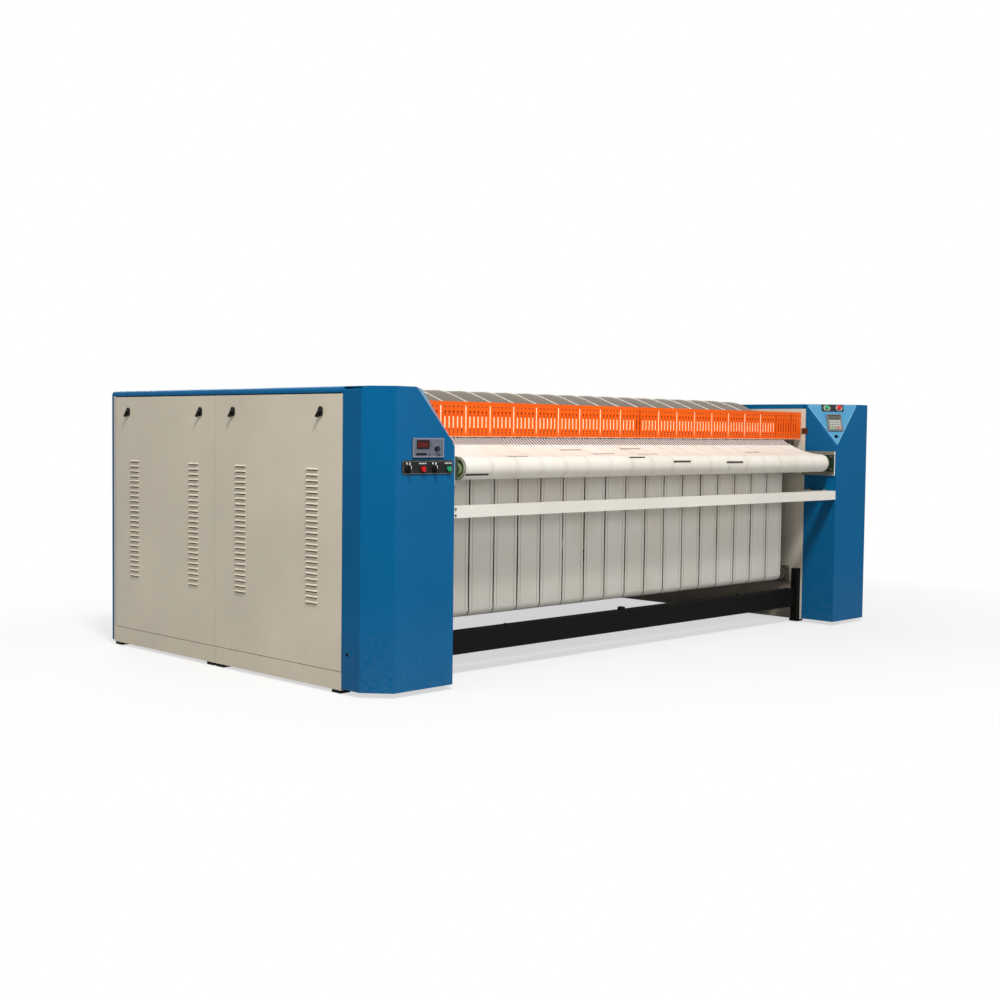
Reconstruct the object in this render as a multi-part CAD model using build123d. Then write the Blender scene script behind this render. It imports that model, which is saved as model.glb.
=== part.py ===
from build123d import *
import math
import os

# Flatwork ironer with two heated drums, in millimetres: X right along the drums, Y back, Z up from the floor.
# Distances called "back" are measured from the front face of the end housings.

# --- overall -------------------------------------------------------------------------------------
HOUSING_SPAN = 4070.0          # outer face to outer face of the two end housings
HOUSING_WIDTH = 446.0          # one end housing, across
HOUSING_DEPTH = 2192.0
HOUSING_HEIGHT = 1350.0
KNOB_REACH = 23.0              # how far the front knobs stand out of the front face
OUTER_X = HOUSING_SPAN / 2
INNER_X = OUTER_X - HOUSING_WIDTH
FRONT = KNOB_REACH / 2 - HOUSING_DEPTH / 2

# --- sheet metal and clearances --------------------------------------------------------------------
SHEET = 2.0                    # covers and doors
WALL_PLATE = 10.0              # the plates that carry the drums
GAP = 0.5                      # between separate covers
DOOR_GAP = 3.0                 # round each door
DOOR_SEAT = 0.3                # between a door and the posts it closes on
RUN_CLEAR = 0.05               # shaft in bearing, radial
SKIN_CLEAR = 0.4               # belt or cord lying on a drum or roller

# --- front columns ---------------------------------------------------------------------------------
COLUMN_BOTTOM = 22.0
COLUMN_BACK_OUTER = 238.0      # rear edge on the outer side
COLUMN_BACK_INNER = 222.0      # rear edge on the inner side
CHAMFER_X = 99.0
CHAMFER_Y = 114.0
FACET_X = 233.4                # the three-cornered control facet: width along the front
FACET_Y = 224.9                # and along the inner side
FACET_DROP = 257.5             # and how far its tip lies below the top
TOP_ROUND = 22.0               # radius of the outer top edge
SIDE_HOLE_R = 9.0
SIDE_HOLE_BACK = 200.0
SIDE_HOLE_Z = 177.0

# --- side structure --------------------------------------------------------------------------------
PLINTH_BOTTOM = 15.0
PLINTH_TOP = 95.6
PLINTH_DEPTH = 60.0
DOOR_SPLIT = 1222.0            # where the front and the rear door meet
REAR_POST = 22.0               # strip of the rear post that shows beside the rear door
REAR_COVER = 17.0
CAP_HEIGHT = 28.0
DOOR_THICK = 20.0
POST = 37.0
WALL_BOTTOM = 17.0
WALL_FLANGE = 60.0

# --- doors ----------------------------------------------------------------------------------------
LOUVRE_COUNT = 24
LOUVRE_LENGTH = 85.0
LOUVRE_PITCH = 26.0
LOUVRE_HEIGHT = 9.0
LOUVRE_REACH = 5.0
LOUVRE_TOP = 990.0
LOUVRE_OFFSET = 277.0          # column centre from the door's centre
LATCH_OFFSET = 338.0
LATCH_Z = HOUSING_HEIGHT - 110.0
LATCH_R = 17.0
LATCH_REACH = 18.0
LATCH_LEVER = 36.0
LATCH_LEAN = 51.0              # the lever points down and back when shut
LATCH_SHAFT_R = 6.0
LATCH_HOLE_CLEAR = 0.5

# --- drums ----------------------------------------------------------------------------------------
DRUM_R = 400.0
DRUM_END_GAP = 69.0            # from the drum's end to the side wall
DRUM_WALL = 12.0
DRUM_1_BACK = 775.0
DRUM_PITCH = 975.0
DRUM_Z = 965.0
DRUM_DISH = 60.0               # how deep the end plates sit inside the shell
DRUM_END_PLATE = 20.0
JOURNAL_R = 45.0
JOURNAL_REACH = 211.0          # beyond the inner face of the housing
JOURNAL_END = INNER_X + JOURNAL_REACH
JOURNAL_HOLE_CLEAR = 15.0
DRUM_BEARING_R = 95.0
DRUM_BEARING_LENGTH = 62.0
DRUM_FLANGE_SIDE = 210.0
DRUM_FLANGE_THICK = 25.0
SPROCKET_R = 150.0
SPROCKET_X = INNER_X + 126.0
SPROCKET_THICK = 14.0
SPROCKET_TEETH = 18
TOOTH_DEPTH = 9.0

# --- rollers: (back, z, tube radius) ---------------------------------------------------------------
ROLLER_END_GAP = 69.0
SHAFT_END_GAP = 4.0
ROLLER_WALL = 5.0
ROLLER_DISC = 10.0
ROLLER_RECESS = 30.0
SHAFT_R = 15.0
FLANGE_SIDE = 100.0
FLANGE_THICK = 14.0
BOSS_R = 36.0
BOSS_REACH = 20.0
FEED_BACK = 58.0
FEED_Z = 991.0
FEED_R = 49.0
NIP_BACK = 350.0
NIP_Z = 1094.0
NIP_R = 36.0
GUIDE_BACK = 300.0
GUIDE_Z = 985.0
GUIDE_R = 30.0
MIDDLE_Z = 1250.0
MIDDLE_R = 50.0
REAR_ROLLER_BACK = 2116.0
REAR_UPPER_Z = 1236.0
REAR_LOWER_Z = 294.0
REAR_R = 43.0
LOWER_BACK = 367.0
LOWER_Z = 294.0
LOWER_R = 33.0

# --- belts -----------------------------------------------------------------------------------------
BELT_PITCH = 168.0
BELT_MARGIN = 77.0             # bare roller beside the outermost belts, at least
BELT_COUNT = int((INNER_X - BELT_MARGIN) * 2 / BELT_PITCH + 0.001)
BELT_THICK = 3.0
FEED_BELT_GAP = 3.0
CURTAIN_GAP = 10.0
SAG_R = 560.0                  # the feed stretch hangs slack along this radius
SAG_STRAIGHT = 20.0            # between each roller and the slack curve

# --- guide cords over the drums ---------------------------------------------------------------------
CORD_SIDE = 4.0
CORD_BAR_R = 10.0
CORD_BAR_BACK = 372.0
CORD_BAR_Z = 1236.0
REAR_BAR_BACK = 2130.0
REAR_BAR_Z = 1310.0

# --- front bar, bearing plates, beams ---------------------------------------------------------------
BAR_BOTTOM = 770.0
BAR_HEIGHT = 53.0
BAR_DEPTH = 50.0
BRACKET_BACK = 205.0
PLATE_FRONT = 9.0
PLATE_REAR = 234.0
PLATE_BOTTOM = 915.0
PLATE_TOP = 1062.0
PLATE_THICK = 10.0
BEAM_BOTTOM = 98.0
BEAM_TOP = 207.0
BEAM_FRONT = 251.0
BEAM_DEPTH = 60.0
UPRIGHT_SIDE = 40.0
UPRIGHT_TOP = 334.0
UPRIGHT_FRONT = 236.0
REAR_BEAM_BACK = 1960.0

# --- finger guard ------------------------------------------------------------------------------------
GUARD_BACK = 250.0
GUARD_BOTTOM = 1133.0
GUARD_TOP = 1299.0
GUARD_THICK = 2.0
GUARD_LIP = 14.0
GUARD_END_GAP = 9.0
GUARD_SPLIT = 3.0
SLOT_PITCH = 27.0
SLOT_WIDTH = 10.0
SLOT_LOW = 1170.0
SLOT_HIGH = 1255.0
TALL_LOW = 1146.0
TALL_HIGH = 1282.0
TALL_EVERY = 6
PIVOT_BACK = 262.0
PIVOT_Z = 1172.0
PIVOT_R = 7.0
GUARD_EAR = 20.0

# --- controls -----------------------------------------------------------------------------------------
SWITCH_RIGHT = -INNER_X - 13.0
SWITCH_WIDTH = 300.0
SWITCH_LEFT = SWITCH_RIGHT - SWITCH_WIDTH
SWITCH_BOTTOM = 968.0
SWITCH_TOP = 1031.0
SWITCH_THICK = 3.0
SWITCH_CORNER = 10.0
CONTROL_Z = 992.0
GREEN_X = SWITCH_RIGHT - 30.0
RED_X = SWITCH_RIGHT - 182.0
SELECTOR_XS = (SWITCH_RIGHT - 264.0, SWITCH_RIGHT - 112.0)
SELECTOR_R = 14.0
BUTTON_R = 13.0
BUTTON_REACH = 12.0
ROUND_SIDES = 18               # flats round each small knob and button
DISPLAY_RIGHT = -INNER_X - 72.0
DISPLAY_LEFT = DISPLAY_RIGHT - 183.0
DISPLAY_BOTTOM = 1042.0
DISPLAY_TOP = 1128.0
DISPLAY_THICK = 8.0
POT_X = DISPLAY_RIGHT - 46.0
POT_Z = 1081.0
POT_R = 11.0
WINDOW_CENTRE_X = DISPLAY_LEFT + 58.0
WINDOW_CENTRE_Z = 1099.0
WINDOW_W = 68.0
WINDOW_H = 34.0
FACET_PLATE = 1.5
STATION_W = 136.0
STATION_H = 50.0
STATION_DOWN = 30.0
STATION_THICK = 3.0
FACET_GREEN = -35.0
FACET_RED = 40.0
KEYPAD_W = 92.0
KEYPAD_H = 122.0
KEYPAD_DOWN = 137.0
KEYPAD_THICK = 12.0
FACET_HOLE_DOWN = 233.0
FACET_HOLE_R = 11.0

# --- drive and steam -----------------------------------------------------------------------------------
MOTOR_BACK = 1262.0
MOTOR_Z = 430.0
MOTOR_SPROCKET_R = 50.0
MOTOR_TEETH = 8
MOTOR_SHAFT_R = 20.0
CHAIN_WIDTH = 12.0
CHAIN_THICK = 10.0
CHAIN_CLEAR = 0.4
GEAR_CASE_WIDTH = 90.0
GEAR_CASE_HALF = 80.0
GEAR_CASE_FALL = 100.0
GEAR_CASE_RISE = 90.0
MOTOR_BODY_R = 78.0
MOTOR_BODY_LENGTH = 140.0
MOTOR_BRACKET_THICK = 12.0
MOTOR_BRACKET_DROP = 100.0
MOTOR_BRACKET_HALF = 90.0
UNION_R = 62.0
UNION_LENGTH = 120.0
UNION_GRIP = 60.0
PIPE_R = 17.0
PIPE_DROP = 430.0
FOOT_SIDE = 60.0

os.makedirs("parts", exist_ok=True)


def back(distance):
    """Y of a point this far behind the front face."""
    return FRONT + distance


def block(x0, x1, y0, y1, z0, z1):
    """Box from its two corners."""
    return Pos((x0 + x1) / 2, (y0 + y1) / 2, (z0 + z1) / 2) * Box(abs(x1 - x0), abs(y1 - y0), abs(z1 - z0))


def rod_x(x0, x1, distance, z, radius):
    """Round bar along X."""
    turned = Pos((x0 + x1) / 2, back(distance), z) * Rot(0, 90, 0)
    return turned * Cylinder(radius, abs(x1 - x0))


def flats_x(x0, x1, distance, z, radius, sides, corners=False):
    """Bar along X with flat sides; the radius reaches its flats, or its corners."""
    place = Plane(origin=(min(x0, x1), back(distance), z), x_dir=(0, 1, 0), z_dir=(1, 0, 0))
    return extrude(place * RegularPolygon(radius, sides, major_radius=corners), abs(x1 - x0))


def flats(place, radius, sides, start, end):
    """The same along the normal of any plane, from start to end."""
    outline = RegularPolygon(radius, sides, major_radius=False)
    return extrude(place.offset(start) * outline, end - start)


def other_side(shape):
    """The same piece on the left end of the machine."""
    return mirror(shape, about=Plane.YZ)


def save(name, *shapes):
    """Write one sub-part, each separate solid as its own."""
    solids = [solid for shape in shapes for solid in shape.solids()]
    whole = solids[0] if len(solids) == 1 else Compound(children=solids)
    export_step(whole, f"parts/{name}.step")


def front_place(x, z):
    """Plane on the front face at this point, facing out."""
    return Plane(origin=(x, back(0), z), x_dir=(1, 0, 0), z_dir=(0, -1, 0))


# ---------------------------------------------------------------- front columns
FACET_NORMAL = Vector(-1 / FACET_X, -1 / FACET_Y, 1 / FACET_DROP).normalized()
FACET_TIP = Vector(INNER_X, FRONT, HOUSING_HEIGHT - FACET_DROP)
FACET_TOP_MIDDLE = Vector(INNER_X + FACET_X / 2, FRONT + FACET_Y / 2, HOUSING_HEIGHT)
FACET_ALONG = Vector(FACET_X, -FACET_Y, 0).normalized()


def facet_place(along, down, lift=0.0):
    """Plane on the right control facet, from the middle of its top edge, facing out."""
    down_dir = FACET_ALONG.cross(FACET_NORMAL)
    down_dir = down_dir if down_dir.Z < 0 else down_dir * -1
    origin = FACET_TOP_MIDDLE + FACET_ALONG * along + down_dir * down + FACET_NORMAL * lift
    return Plane(origin=origin, x_dir=FACET_ALONG, z_dir=FACET_NORMAL)


def column_solid(inset, rear):
    """Five-sided column with its inner top corner cut off, all faces moved in by inset."""
    skew = inset * 0.42
    plan = Polygon(
        (INNER_X + inset, back(inset)),
        (OUTER_X - CHAMFER_X - skew, back(inset)),
        (OUTER_X - inset, back(CHAMFER_Y + skew)),
        (OUTER_X - inset, back(rear + COLUMN_BACK_OUTER - COLUMN_BACK_INNER)),
        (INNER_X + inset, back(rear)),
        align=None,
    )
    height = HOUSING_HEIGHT - inset - COLUMN_BOTTOM
    body = extrude(Pos(0, 0, COLUMN_BOTTOM) * plan, height)
    if inset == 0:
        top_outer = body.edges().filter_by_position(Axis.Z, HOUSING_HEIGHT - 1, HOUSING_HEIGHT + 1)
        top_outer = top_outer.filter_by_position(Axis.X, OUTER_X - 1, OUTER_X + 1)
        body = fillet(top_outer, TOP_ROUND)
    cut = Plane(origin=FACET_TIP - FACET_NORMAL * inset, z_dir=FACET_NORMAL)
    return split(body, bisect_by=cut, keep=Keep.BOTTOM)


def front_column(hole_on_side):
    """Folded sheet column, open at the back and the bottom."""
    shell = column_solid(0, COLUMN_BACK_INNER)
    hollow = column_solid(SHEET, COLUMN_BACK_INNER + 40)
    hollow = Pos(0, 0, -SHEET) * hollow + hollow
    shell = shell - hollow
    if hole_on_side:
        shell = shell - flats_x(OUTER_X - 10, OUTER_X + 10, SIDE_HOLE_BACK, SIDE_HOLE_Z, SIDE_HOLE_R, 16)
    return shell


right_column = front_column(True)
for spot in (FACET_GREEN, FACET_RED):
    right_column = right_column - flats(facet_place(spot, STATION_DOWN), BUTTON_R + GAP, 12, -15, 15)
right_column = right_column - flats(facet_place(0, FACET_HOLE_DOWN), FACET_HOLE_R, 12, -15, 15)
save("front_column_right", right_column)

left_column = other_side(front_column(True))
for x in (*SELECTOR_XS, RED_X, GREEN_X):
    left_column = left_column - flats(front_place(x, CONTROL_Z), SELECTOR_R - 2, 8, -10, 10)
save("front_column_left", left_column)


# ---------------------------------------------------------------- top and rear covers
REAR_END = HOUSING_DEPTH


def top_cover():
    """Shallow folded tray over one housing, its outer edge rounded."""
    y0, y1 = back(COLUMN_BACK_OUTER + GAP), back(REAR_END)
    z0 = HOUSING_HEIGHT - CAP_HEIGHT
    tray = block(INNER_X, OUTER_X, y0, y1, z0, HOUSING_HEIGHT)
    edge = tray.edges().filter_by(Axis.Y).sort_by(Axis.X)[-2:].sort_by(Axis.Z)[-1]
    tray = fillet(edge, TOP_ROUND)
    inside = block(INNER_X + SHEET, OUTER_X - SHEET, y0 + SHEET, y1 - SHEET, z0 - 1, HOUSING_HEIGHT - SHEET)
    edge = inside.edges().filter_by(Axis.Y).sort_by(Axis.X)[-2:].sort_by(Axis.Z)[-1]
    return tray - fillet(edge, TOP_ROUND - SHEET)


def rear_cover():
    """Rear closing panel, a folded tray open to the front."""
    y0, y1 = back(REAR_END - REAR_COVER), back(REAR_END)
    z1 = HOUSING_HEIGHT - CAP_HEIGHT - GAP
    tray = block(INNER_X, OUTER_X, y0, y1, COLUMN_BOTTOM, z1)
    inner = block(INNER_X + SHEET, OUTER_X - SHEET, y0 - 1, y1 - SHEET, COLUMN_BOTTOM + SHEET, z1 - SHEET)
    return tray - inner


save("top_covers", top_cover(), other_side(top_cover()))
save("rear_covers", rear_cover(), other_side(rear_cover()))


# ---------------------------------------------------------------- side walls, posts, plinths, feet
WALL_FRONT = COLUMN_BACK_INNER + GAP
WALL_REAR = HOUSING_DEPTH - REAR_COVER - GAP
WALL_TOP = HOUSING_HEIGHT - CAP_HEIGHT - GAP
DRUM_BACKS = (DRUM_1_BACK, DRUM_1_BACK + DRUM_PITCH)


def side_wall():
    """Plate that carries the drums and rollers, with a base flange folded into the housing."""
    y0, y1 = back(WALL_FRONT), back(WALL_REAR)
    wall = block(INNER_X, INNER_X + WALL_PLATE, y0, y1, WALL_BOTTOM, WALL_TOP)
    wall = wall + block(INNER_X, INNER_X + WALL_FLANGE, y0, y1, WALL_BOTTOM, WALL_BOTTOM + WALL_PLATE)
    for distance in DRUM_BACKS:
        hole_r = JOURNAL_R + JOURNAL_HOLE_CLEAR
        wall = wall - flats_x(INNER_X - 5, INNER_X + WALL_PLATE + 5, distance, DRUM_Z, hole_r, 16)
    return wall


def door_posts():
    """Front, middle and rear post of one housing, from plinth to top cover."""
    x1 = OUTER_X - DOOR_THICK - DOOR_SEAT
    z0, z1 = PLINTH_TOP, WALL_TOP
    front = block(x1 - POST, x1, back(COLUMN_BACK_OUTER + 4), back(COLUMN_BACK_OUTER + 4 + POST), z0, z1)
    middle = block(x1 - POST, x1, back(DOOR_SPLIT - POST / 2), back(DOOR_SPLIT + POST / 2), z0, z1)
    rear_y = back(REAR_END - REAR_COVER - GAP)
    rear = block(x1 - POST, OUTER_X, rear_y - REAR_POST, rear_y, z0, z1)
    return [front, middle, rear]


PLINTHS = (
    (COLUMN_BACK_OUTER + GAP, DOOR_SPLIT - 1.5),
    (DOOR_SPLIT + 1.5, HOUSING_DEPTH - REAR_COVER - GAP),
)


def plinth(start, end):
    """Channel along the outer foot of one housing, open to the inside."""
    y0, y1 = back(start), back(end)
    channel = block(OUTER_X - PLINTH_DEPTH, OUTER_X, y0, y1, PLINTH_BOTTOM, PLINTH_TOP)
    inner = block(OUTER_X - PLINTH_DEPTH - 1, OUTER_X - 4, y0 - 1, y1 + 1, PLINTH_BOTTOM + 4, PLINTH_TOP - 4)
    return channel - inner


save("side_wall_right", side_wall())
save("side_wall_left", other_side(side_wall()))
right_posts = door_posts()
save("door_posts", *right_posts, *[other_side(post) for post in right_posts])
right_plinths = [plinth(*ends) for ends in PLINTHS]
save("plinths", *right_plinths, *[other_side(piece) for piece in right_plinths])

feet = []
OUTER_FEET = (COLUMN_BACK_OUTER + 40, DOOR_SPLIT - 40, DOOR_SPLIT + 40, HOUSING_DEPTH - 60)
INNER_FEET = (WALL_FRONT + 60, DOOR_SPLIT, HOUSING_DEPTH - 60)
for distance in OUTER_FEET:
    y0, y1 = back(distance) - FOOT_SIDE / 2, back(distance) + FOOT_SIDE / 2
    feet.append(block(OUTER_X - FOOT_SIDE, OUTER_X - 3, y0, y1, 0, PLINTH_BOTTOM))
for distance in INNER_FEET:
    y0, y1 = back(distance) - FOOT_SIDE / 2, back(distance) + FOOT_SIDE / 2
    feet.append(block(INNER_X + 3, INNER_X + FOOT_SIDE, y0, y1, 0, WALL_BOTTOM))
save("levelling_feet", *feet, *[other_side(foot) for foot in feet])


# ---------------------------------------------------------------- doors and latches
DOORS = (
    ("front", COLUMN_BACK_OUTER + DOOR_GAP, DOOR_SPLIT - DOOR_GAP / 2),
    ("rear", DOOR_SPLIT + DOOR_GAP / 2, HOUSING_DEPTH - REAR_COVER - GAP - REAR_POST - DOOR_GAP),
)
DOOR_BOTTOM = PLINTH_TOP + DOOR_GAP
DOOR_TOP = HOUSING_HEIGHT - CAP_HEIGHT - 5.0


def louvre(distance, z):
    """One pressed louvre: a hood that leans out of the sheet, widest at its lower edge."""
    profile = Plane(origin=(0, back(distance + LOUVRE_LENGTH / 2), 0), x_dir=(1, 0, 0), z_dir=(0, -1, 0))
    bottom, root = z - LOUVRE_HEIGHT, OUTER_X - SHEET / 2
    fold = Polygon((root, z), (root, bottom), (OUTER_X + LOUVRE_REACH, bottom), align=None)
    return extrude(profile * fold, LOUVRE_LENGTH)


def door(start, end):
    """Lift-off door: a folded tray with two columns of pressed louvres and two latch holes."""
    y0, y1 = back(start), back(end)
    centre = (start + end) / 2
    panel = block(OUTER_X - DOOR_THICK, OUTER_X, y0, y1, DOOR_BOTTOM, DOOR_TOP)
    x0, x1 = OUTER_X - DOOR_THICK - 1, OUTER_X - SHEET
    inner = block(x0, x1, y0 + SHEET, y1 - SHEET, DOOR_BOTTOM + SHEET, DOOR_TOP - SHEET)
    panel = panel - inner
    rows = [LOUVRE_TOP - row * LOUVRE_PITCH for row in range(LOUVRE_COUNT)]
    columns = (centre - LOUVRE_OFFSET, centre + LOUVRE_OFFSET)
    panel = panel + [louvre(column, z) for column in columns for z in rows]
    for spot in (centre - LATCH_OFFSET, centre + LATCH_OFFSET):
        panel = panel - flats_x(x0, OUTER_X + 5, spot, LATCH_Z, LATCH_SHAFT_R + LATCH_HOLE_CLEAR, 6)
    return panel


def latch(distance):
    """Quarter-turn latch: oval body with a lever outside, and a tongue behind the sheet."""
    x0 = OUTER_X + 0.4
    place = Plane(origin=(x0, back(distance), LATCH_Z), x_dir=(0, 1, 0), z_dir=(1, 0, 0))
    wide, tall, corner = LATCH_R * 0.85, LATCH_R * 1.3, LATCH_R * 0.5
    quarter = [(wide, tall - corner), (wide - corner, tall)]
    outline = quarter + [(-y, z) for y, z in reversed(quarter)]
    outline = outline + [(-y, -z) for y, z in outline]
    body = extrude(place * Polygon(*outline, align=None), 6)
    lever = Rot(0, 0, -LATCH_LEAN) * Pos(LATCH_LEVER / 2 - 6, 0) * Rectangle(LATCH_LEVER, 8)
    wing = extrude(place.offset(6) * lever, LATCH_REACH - 6.4)
    shaft = flats_x(OUTER_X - DOOR_THICK + 4, x0, distance, LATCH_Z, LATCH_SHAFT_R, 6, corners=True)
    tongue_x = OUTER_X - SHEET - 6
    y, half = back(distance), 11.0
    tongue = block(tongue_x - 3, tongue_x, y - half, y + half, LATCH_Z - half, LATCH_Z + 38)
    return body + wing + shaft + tongue


for door_name, start, end in DOORS:
    right_door = door(start, end)
    save(f"{door_name}_door_right", right_door)
    save(f"{door_name}_door_left", other_side(right_door))
    middle = (start + end) / 2
    for end_name, spot in (("front", middle - LATCH_OFFSET), ("rear", middle + LATCH_OFFSET)):
        right_latch = latch(spot)
        save(f"{door_name}_door_{end_name}_latch_right", right_latch)
        save(f"{door_name}_door_{end_name}_latch_left", other_side(right_latch))


# ---------------------------------------------------------------- drums
def toothed_disc(x0, distance, z, radius, teeth, thick):
    """Chain sprocket as a disc with pointed teeth."""
    root = radius - TOOTH_DEPTH
    points = []
    for tooth in range(teeth):
        for share, reach in ((0.0, root), (0.5, radius)):
            angle = 2 * math.pi * (tooth + share) / teeth
            points.append((reach * math.cos(angle), reach * math.sin(angle)))
    place = Plane(origin=(x0, back(distance), z), x_dir=(0, 1, 0), z_dir=(1, 0, 0))
    return extrude(place * Polygon(*points, align=None), thick)


def drum(distance):
    """Heated drum: hollow shell with sunk end plates, journals and the drive sprocket."""
    half = INNER_X - DRUM_END_GAP
    inside = DRUM_R - DRUM_WALL
    plate_x = half - DRUM_DISH
    section = Polyline(
        (half, 0), (half, DRUM_R), (-half, DRUM_R), (-half, 0), close=True,
    )
    place = Plane(origin=(0, back(distance), DRUM_Z), x_dir=(1, 0, 0), z_dir=(0, -1, 0))
    shell = revolve(make_face(place * section), Axis((0, back(distance), DRUM_Z), (1, 0, 0)))
    for side in (-1, 1):
        shell = shell - flats_x(side * plate_x, side * (half + 1), distance, DRUM_Z, inside, 18, corners=True)
    core = plate_x - DRUM_END_PLATE
    shell = shell - flats_x(-core, core, distance, DRUM_Z, inside, 18, corners=True)
    for side in (-1, 1):
        start = side * (plate_x - DRUM_END_PLATE)
        shell = shell + flats_x(start, side * JOURNAL_END, distance, DRUM_Z, JOURNAL_R, 24, corners=True)
    return shell + toothed_disc(SPROCKET_X, distance, DRUM_Z, SPROCKET_R, SPROCKET_TEETH, SPROCKET_THICK)


save("drum_1", drum(DRUM_BACKS[0]))
save("drum_2", drum(DRUM_BACKS[1]))


def drum_bearing(distance):
    """Flanged bearing housing on the outside of the side wall."""
    x0, half = INNER_X + WALL_PLATE, DRUM_FLANGE_SIDE / 2
    y = back(distance)
    flange = block(x0, x0 + DRUM_FLANGE_THICK, y - half, y + half, DRUM_Z - half, DRUM_Z + half)
    housing = flange + flats_x(x0, x0 + DRUM_BEARING_LENGTH, distance, DRUM_Z, DRUM_BEARING_R, 16)
    x1 = x0 + DRUM_BEARING_LENGTH
    return housing - flats_x(x0 - 1, x1 + 1, distance, DRUM_Z, JOURNAL_R + RUN_CLEAR, 16)


bearings = [drum_bearing(distance) for distance in DRUM_BACKS]
save("drum_bearings", *bearings, *[other_side(bearing) for bearing in bearings])


# ---------------------------------------------------------------- rollers and their bearings
MIDDLE_BACK = DRUM_1_BACK + DRUM_PITCH / 2
ROLLERS = {
    "feed_roller": (FEED_BACK, FEED_Z, FEED_R),
    "nip_roller": (NIP_BACK, NIP_Z, NIP_R),
    "belt_guide_roller": (GUIDE_BACK, GUIDE_Z, GUIDE_R),
    "middle_roller": (MIDDLE_BACK, MIDDLE_Z, MIDDLE_R),
    "rear_upper_roller": (REAR_ROLLER_BACK, REAR_UPPER_Z, REAR_R),
    "rear_lower_roller": (REAR_ROLLER_BACK, REAR_LOWER_Z, REAR_R),
    "front_lower_roller": (LOWER_BACK, LOWER_Z, LOWER_R),
}


def roller(distance, z, radius, seat_x, sunk):
    """Hollow roller with a stub shaft at each end; an open one has its end discs sunk into the tube."""
    half = INNER_X - ROLLER_END_GAP
    disc = half - ROLLER_RECESS if sunk else half
    bore = radius - ROLLER_WALL
    body = rod_x(-half, half, distance, z, radius)
    if sunk:
        for side in (-1, 1):
            body = body - flats_x(side * disc, side * (half + 1), distance, z, bore, 20, corners=True)
    core = disc - ROLLER_DISC
    body = body - flats_x(-core, core, distance, z, bore, 12, corners=True)
    shaft_end = seat_x - SHAFT_END_GAP
    for side in (-1, 1):
        start = side * (disc - ROLLER_DISC / 2)
        body = body + flats_x(start, side * shaft_end, distance, z, SHAFT_R, 12, corners=True)
    return body


def flange_bearing(distance, z, seat_x):
    """Square four-bolt bearing on a vertical face at seat_x."""
    y, half = back(distance), FLANGE_SIDE / 2
    base = block(seat_x - FLANGE_THICK, seat_x, y - half, y + half, z - half, z + half)
    boss = flats_x(seat_x - FLANGE_THICK - BOSS_REACH, seat_x - FLANGE_THICK, distance, z, BOSS_R, 8)
    bore = flats_x(seat_x - 60, seat_x - 2, distance, z, SHAFT_R + RUN_CLEAR, 12)
    return base + boss - bore


def seat_of(name):
    """The face that carries this roller's bearings."""
    return INNER_X - PLATE_THICK if name == "feed_roller" else INNER_X


roller_bearings = []
for name, (distance, z, radius) in ROLLERS.items():
    save(name, roller(distance, z, radius, seat_of(name), name == "feed_roller"))
    pair = flange_bearing(distance, z, seat_of(name))
    roller_bearings.extend([pair, other_side(pair)])
save("roller_bearings", *roller_bearings)

right_plate = block(
    INNER_X - PLATE_THICK, INNER_X, back(PLATE_FRONT), back(PLATE_REAR), PLATE_BOTTOM, PLATE_TOP
)
save("bearing_plates", right_plate, other_side(right_plate))


# ---------------------------------------------------------------- belts
def belt_path(pulleys):
    """Lines and arcs, in the (back, z) plane, of a belt that runs over the pulleys in turn.

    Each pulley is (back, z, radius of the belt's middle line, side, largest bend in degrees), with side
    +1 where the belt runs anticlockwise round it and -1 where it runs clockwise. The result pairs each
    pulley's arc with the straight run that follows it.
    """
    joints = []
    for first, second in zip(pulleys, pulleys[1:] + pulleys[:1]):
        dy, dz = second[0] - first[0], second[1] - first[1]
        k = second[3] * second[2] - first[3] * first[2]
        square = dy * dy + dz * dz
        run = math.sqrt(square - k * k)
        ux, uz = (run * dy + k * dz) / square, (run * dz - k * dy) / square
        start = (first[0] + first[3] * first[2] * uz, first[1] - first[3] * first[2] * ux)
        end = (second[0] + second[3] * second[2] * uz, second[1] - second[3] * second[2] * ux)
        joints.append((start, end))
    pieces = []
    for index, pulley in enumerate(pulleys):
        arrive = joints[index - 1][1]
        leave, next_arrive = joints[index]
        a0 = math.atan2(arrive[1] - pulley[1], arrive[0] - pulley[0])
        a1 = math.atan2(leave[1] - pulley[1], leave[0] - pulley[0])
        turn = (a1 - a0) % (2 * math.pi) if pulley[3] > 0 else -((a0 - a1) % (2 * math.pi))
        pieces.append((pulley, arrive, a0, turn, leave, next_arrive))
    return pieces


def bend(pulley, a0, turn, radius):
    """Corners of the belt round one pulley, in short flats that touch the circle and never cut it."""
    count = max(1, math.ceil(abs(math.degrees(turn)) / pulley[4]))
    step = turn / count
    reach = radius / math.cos(step / 2)
    angles = [a0 + (index + 0.5) * step for index in range(count)]
    return [(pulley[0] + reach * math.cos(a), pulley[1] + reach * math.sin(a)) for a in angles]


def strip_face(pieces, first, last, thick, lead_in=None):
    """Closed outline of a belt of this thickness, from the first pulley's arc to the last one's.

    lead_in is the point where a straight run before the first arc begins.
    """
    sides = []
    for side in (0.5, -0.5):
        outline = []
        for index in range(first, last + 1):
            pulley, arrive, a0, turn, leave, onward = pieces[index]
            radius = pulley[2] + side * thick * pulley[3]
            if index == first:
                start = lead_in or arrive
                shift = side * thick * pulley[3]
                outline.append((start[0] + shift * math.cos(a0), start[1] + shift * math.sin(a0)))
            outline.extend(bend(pulley, a0, turn, radius))
        a1 = a0 + turn
        outline.append((pulley[0] + radius * math.cos(a1), pulley[1] + radius * math.sin(a1)))
        sides.append(outline)
    return make_face(Polyline(*sides[0], *reversed(sides[1]), close=True))


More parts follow.
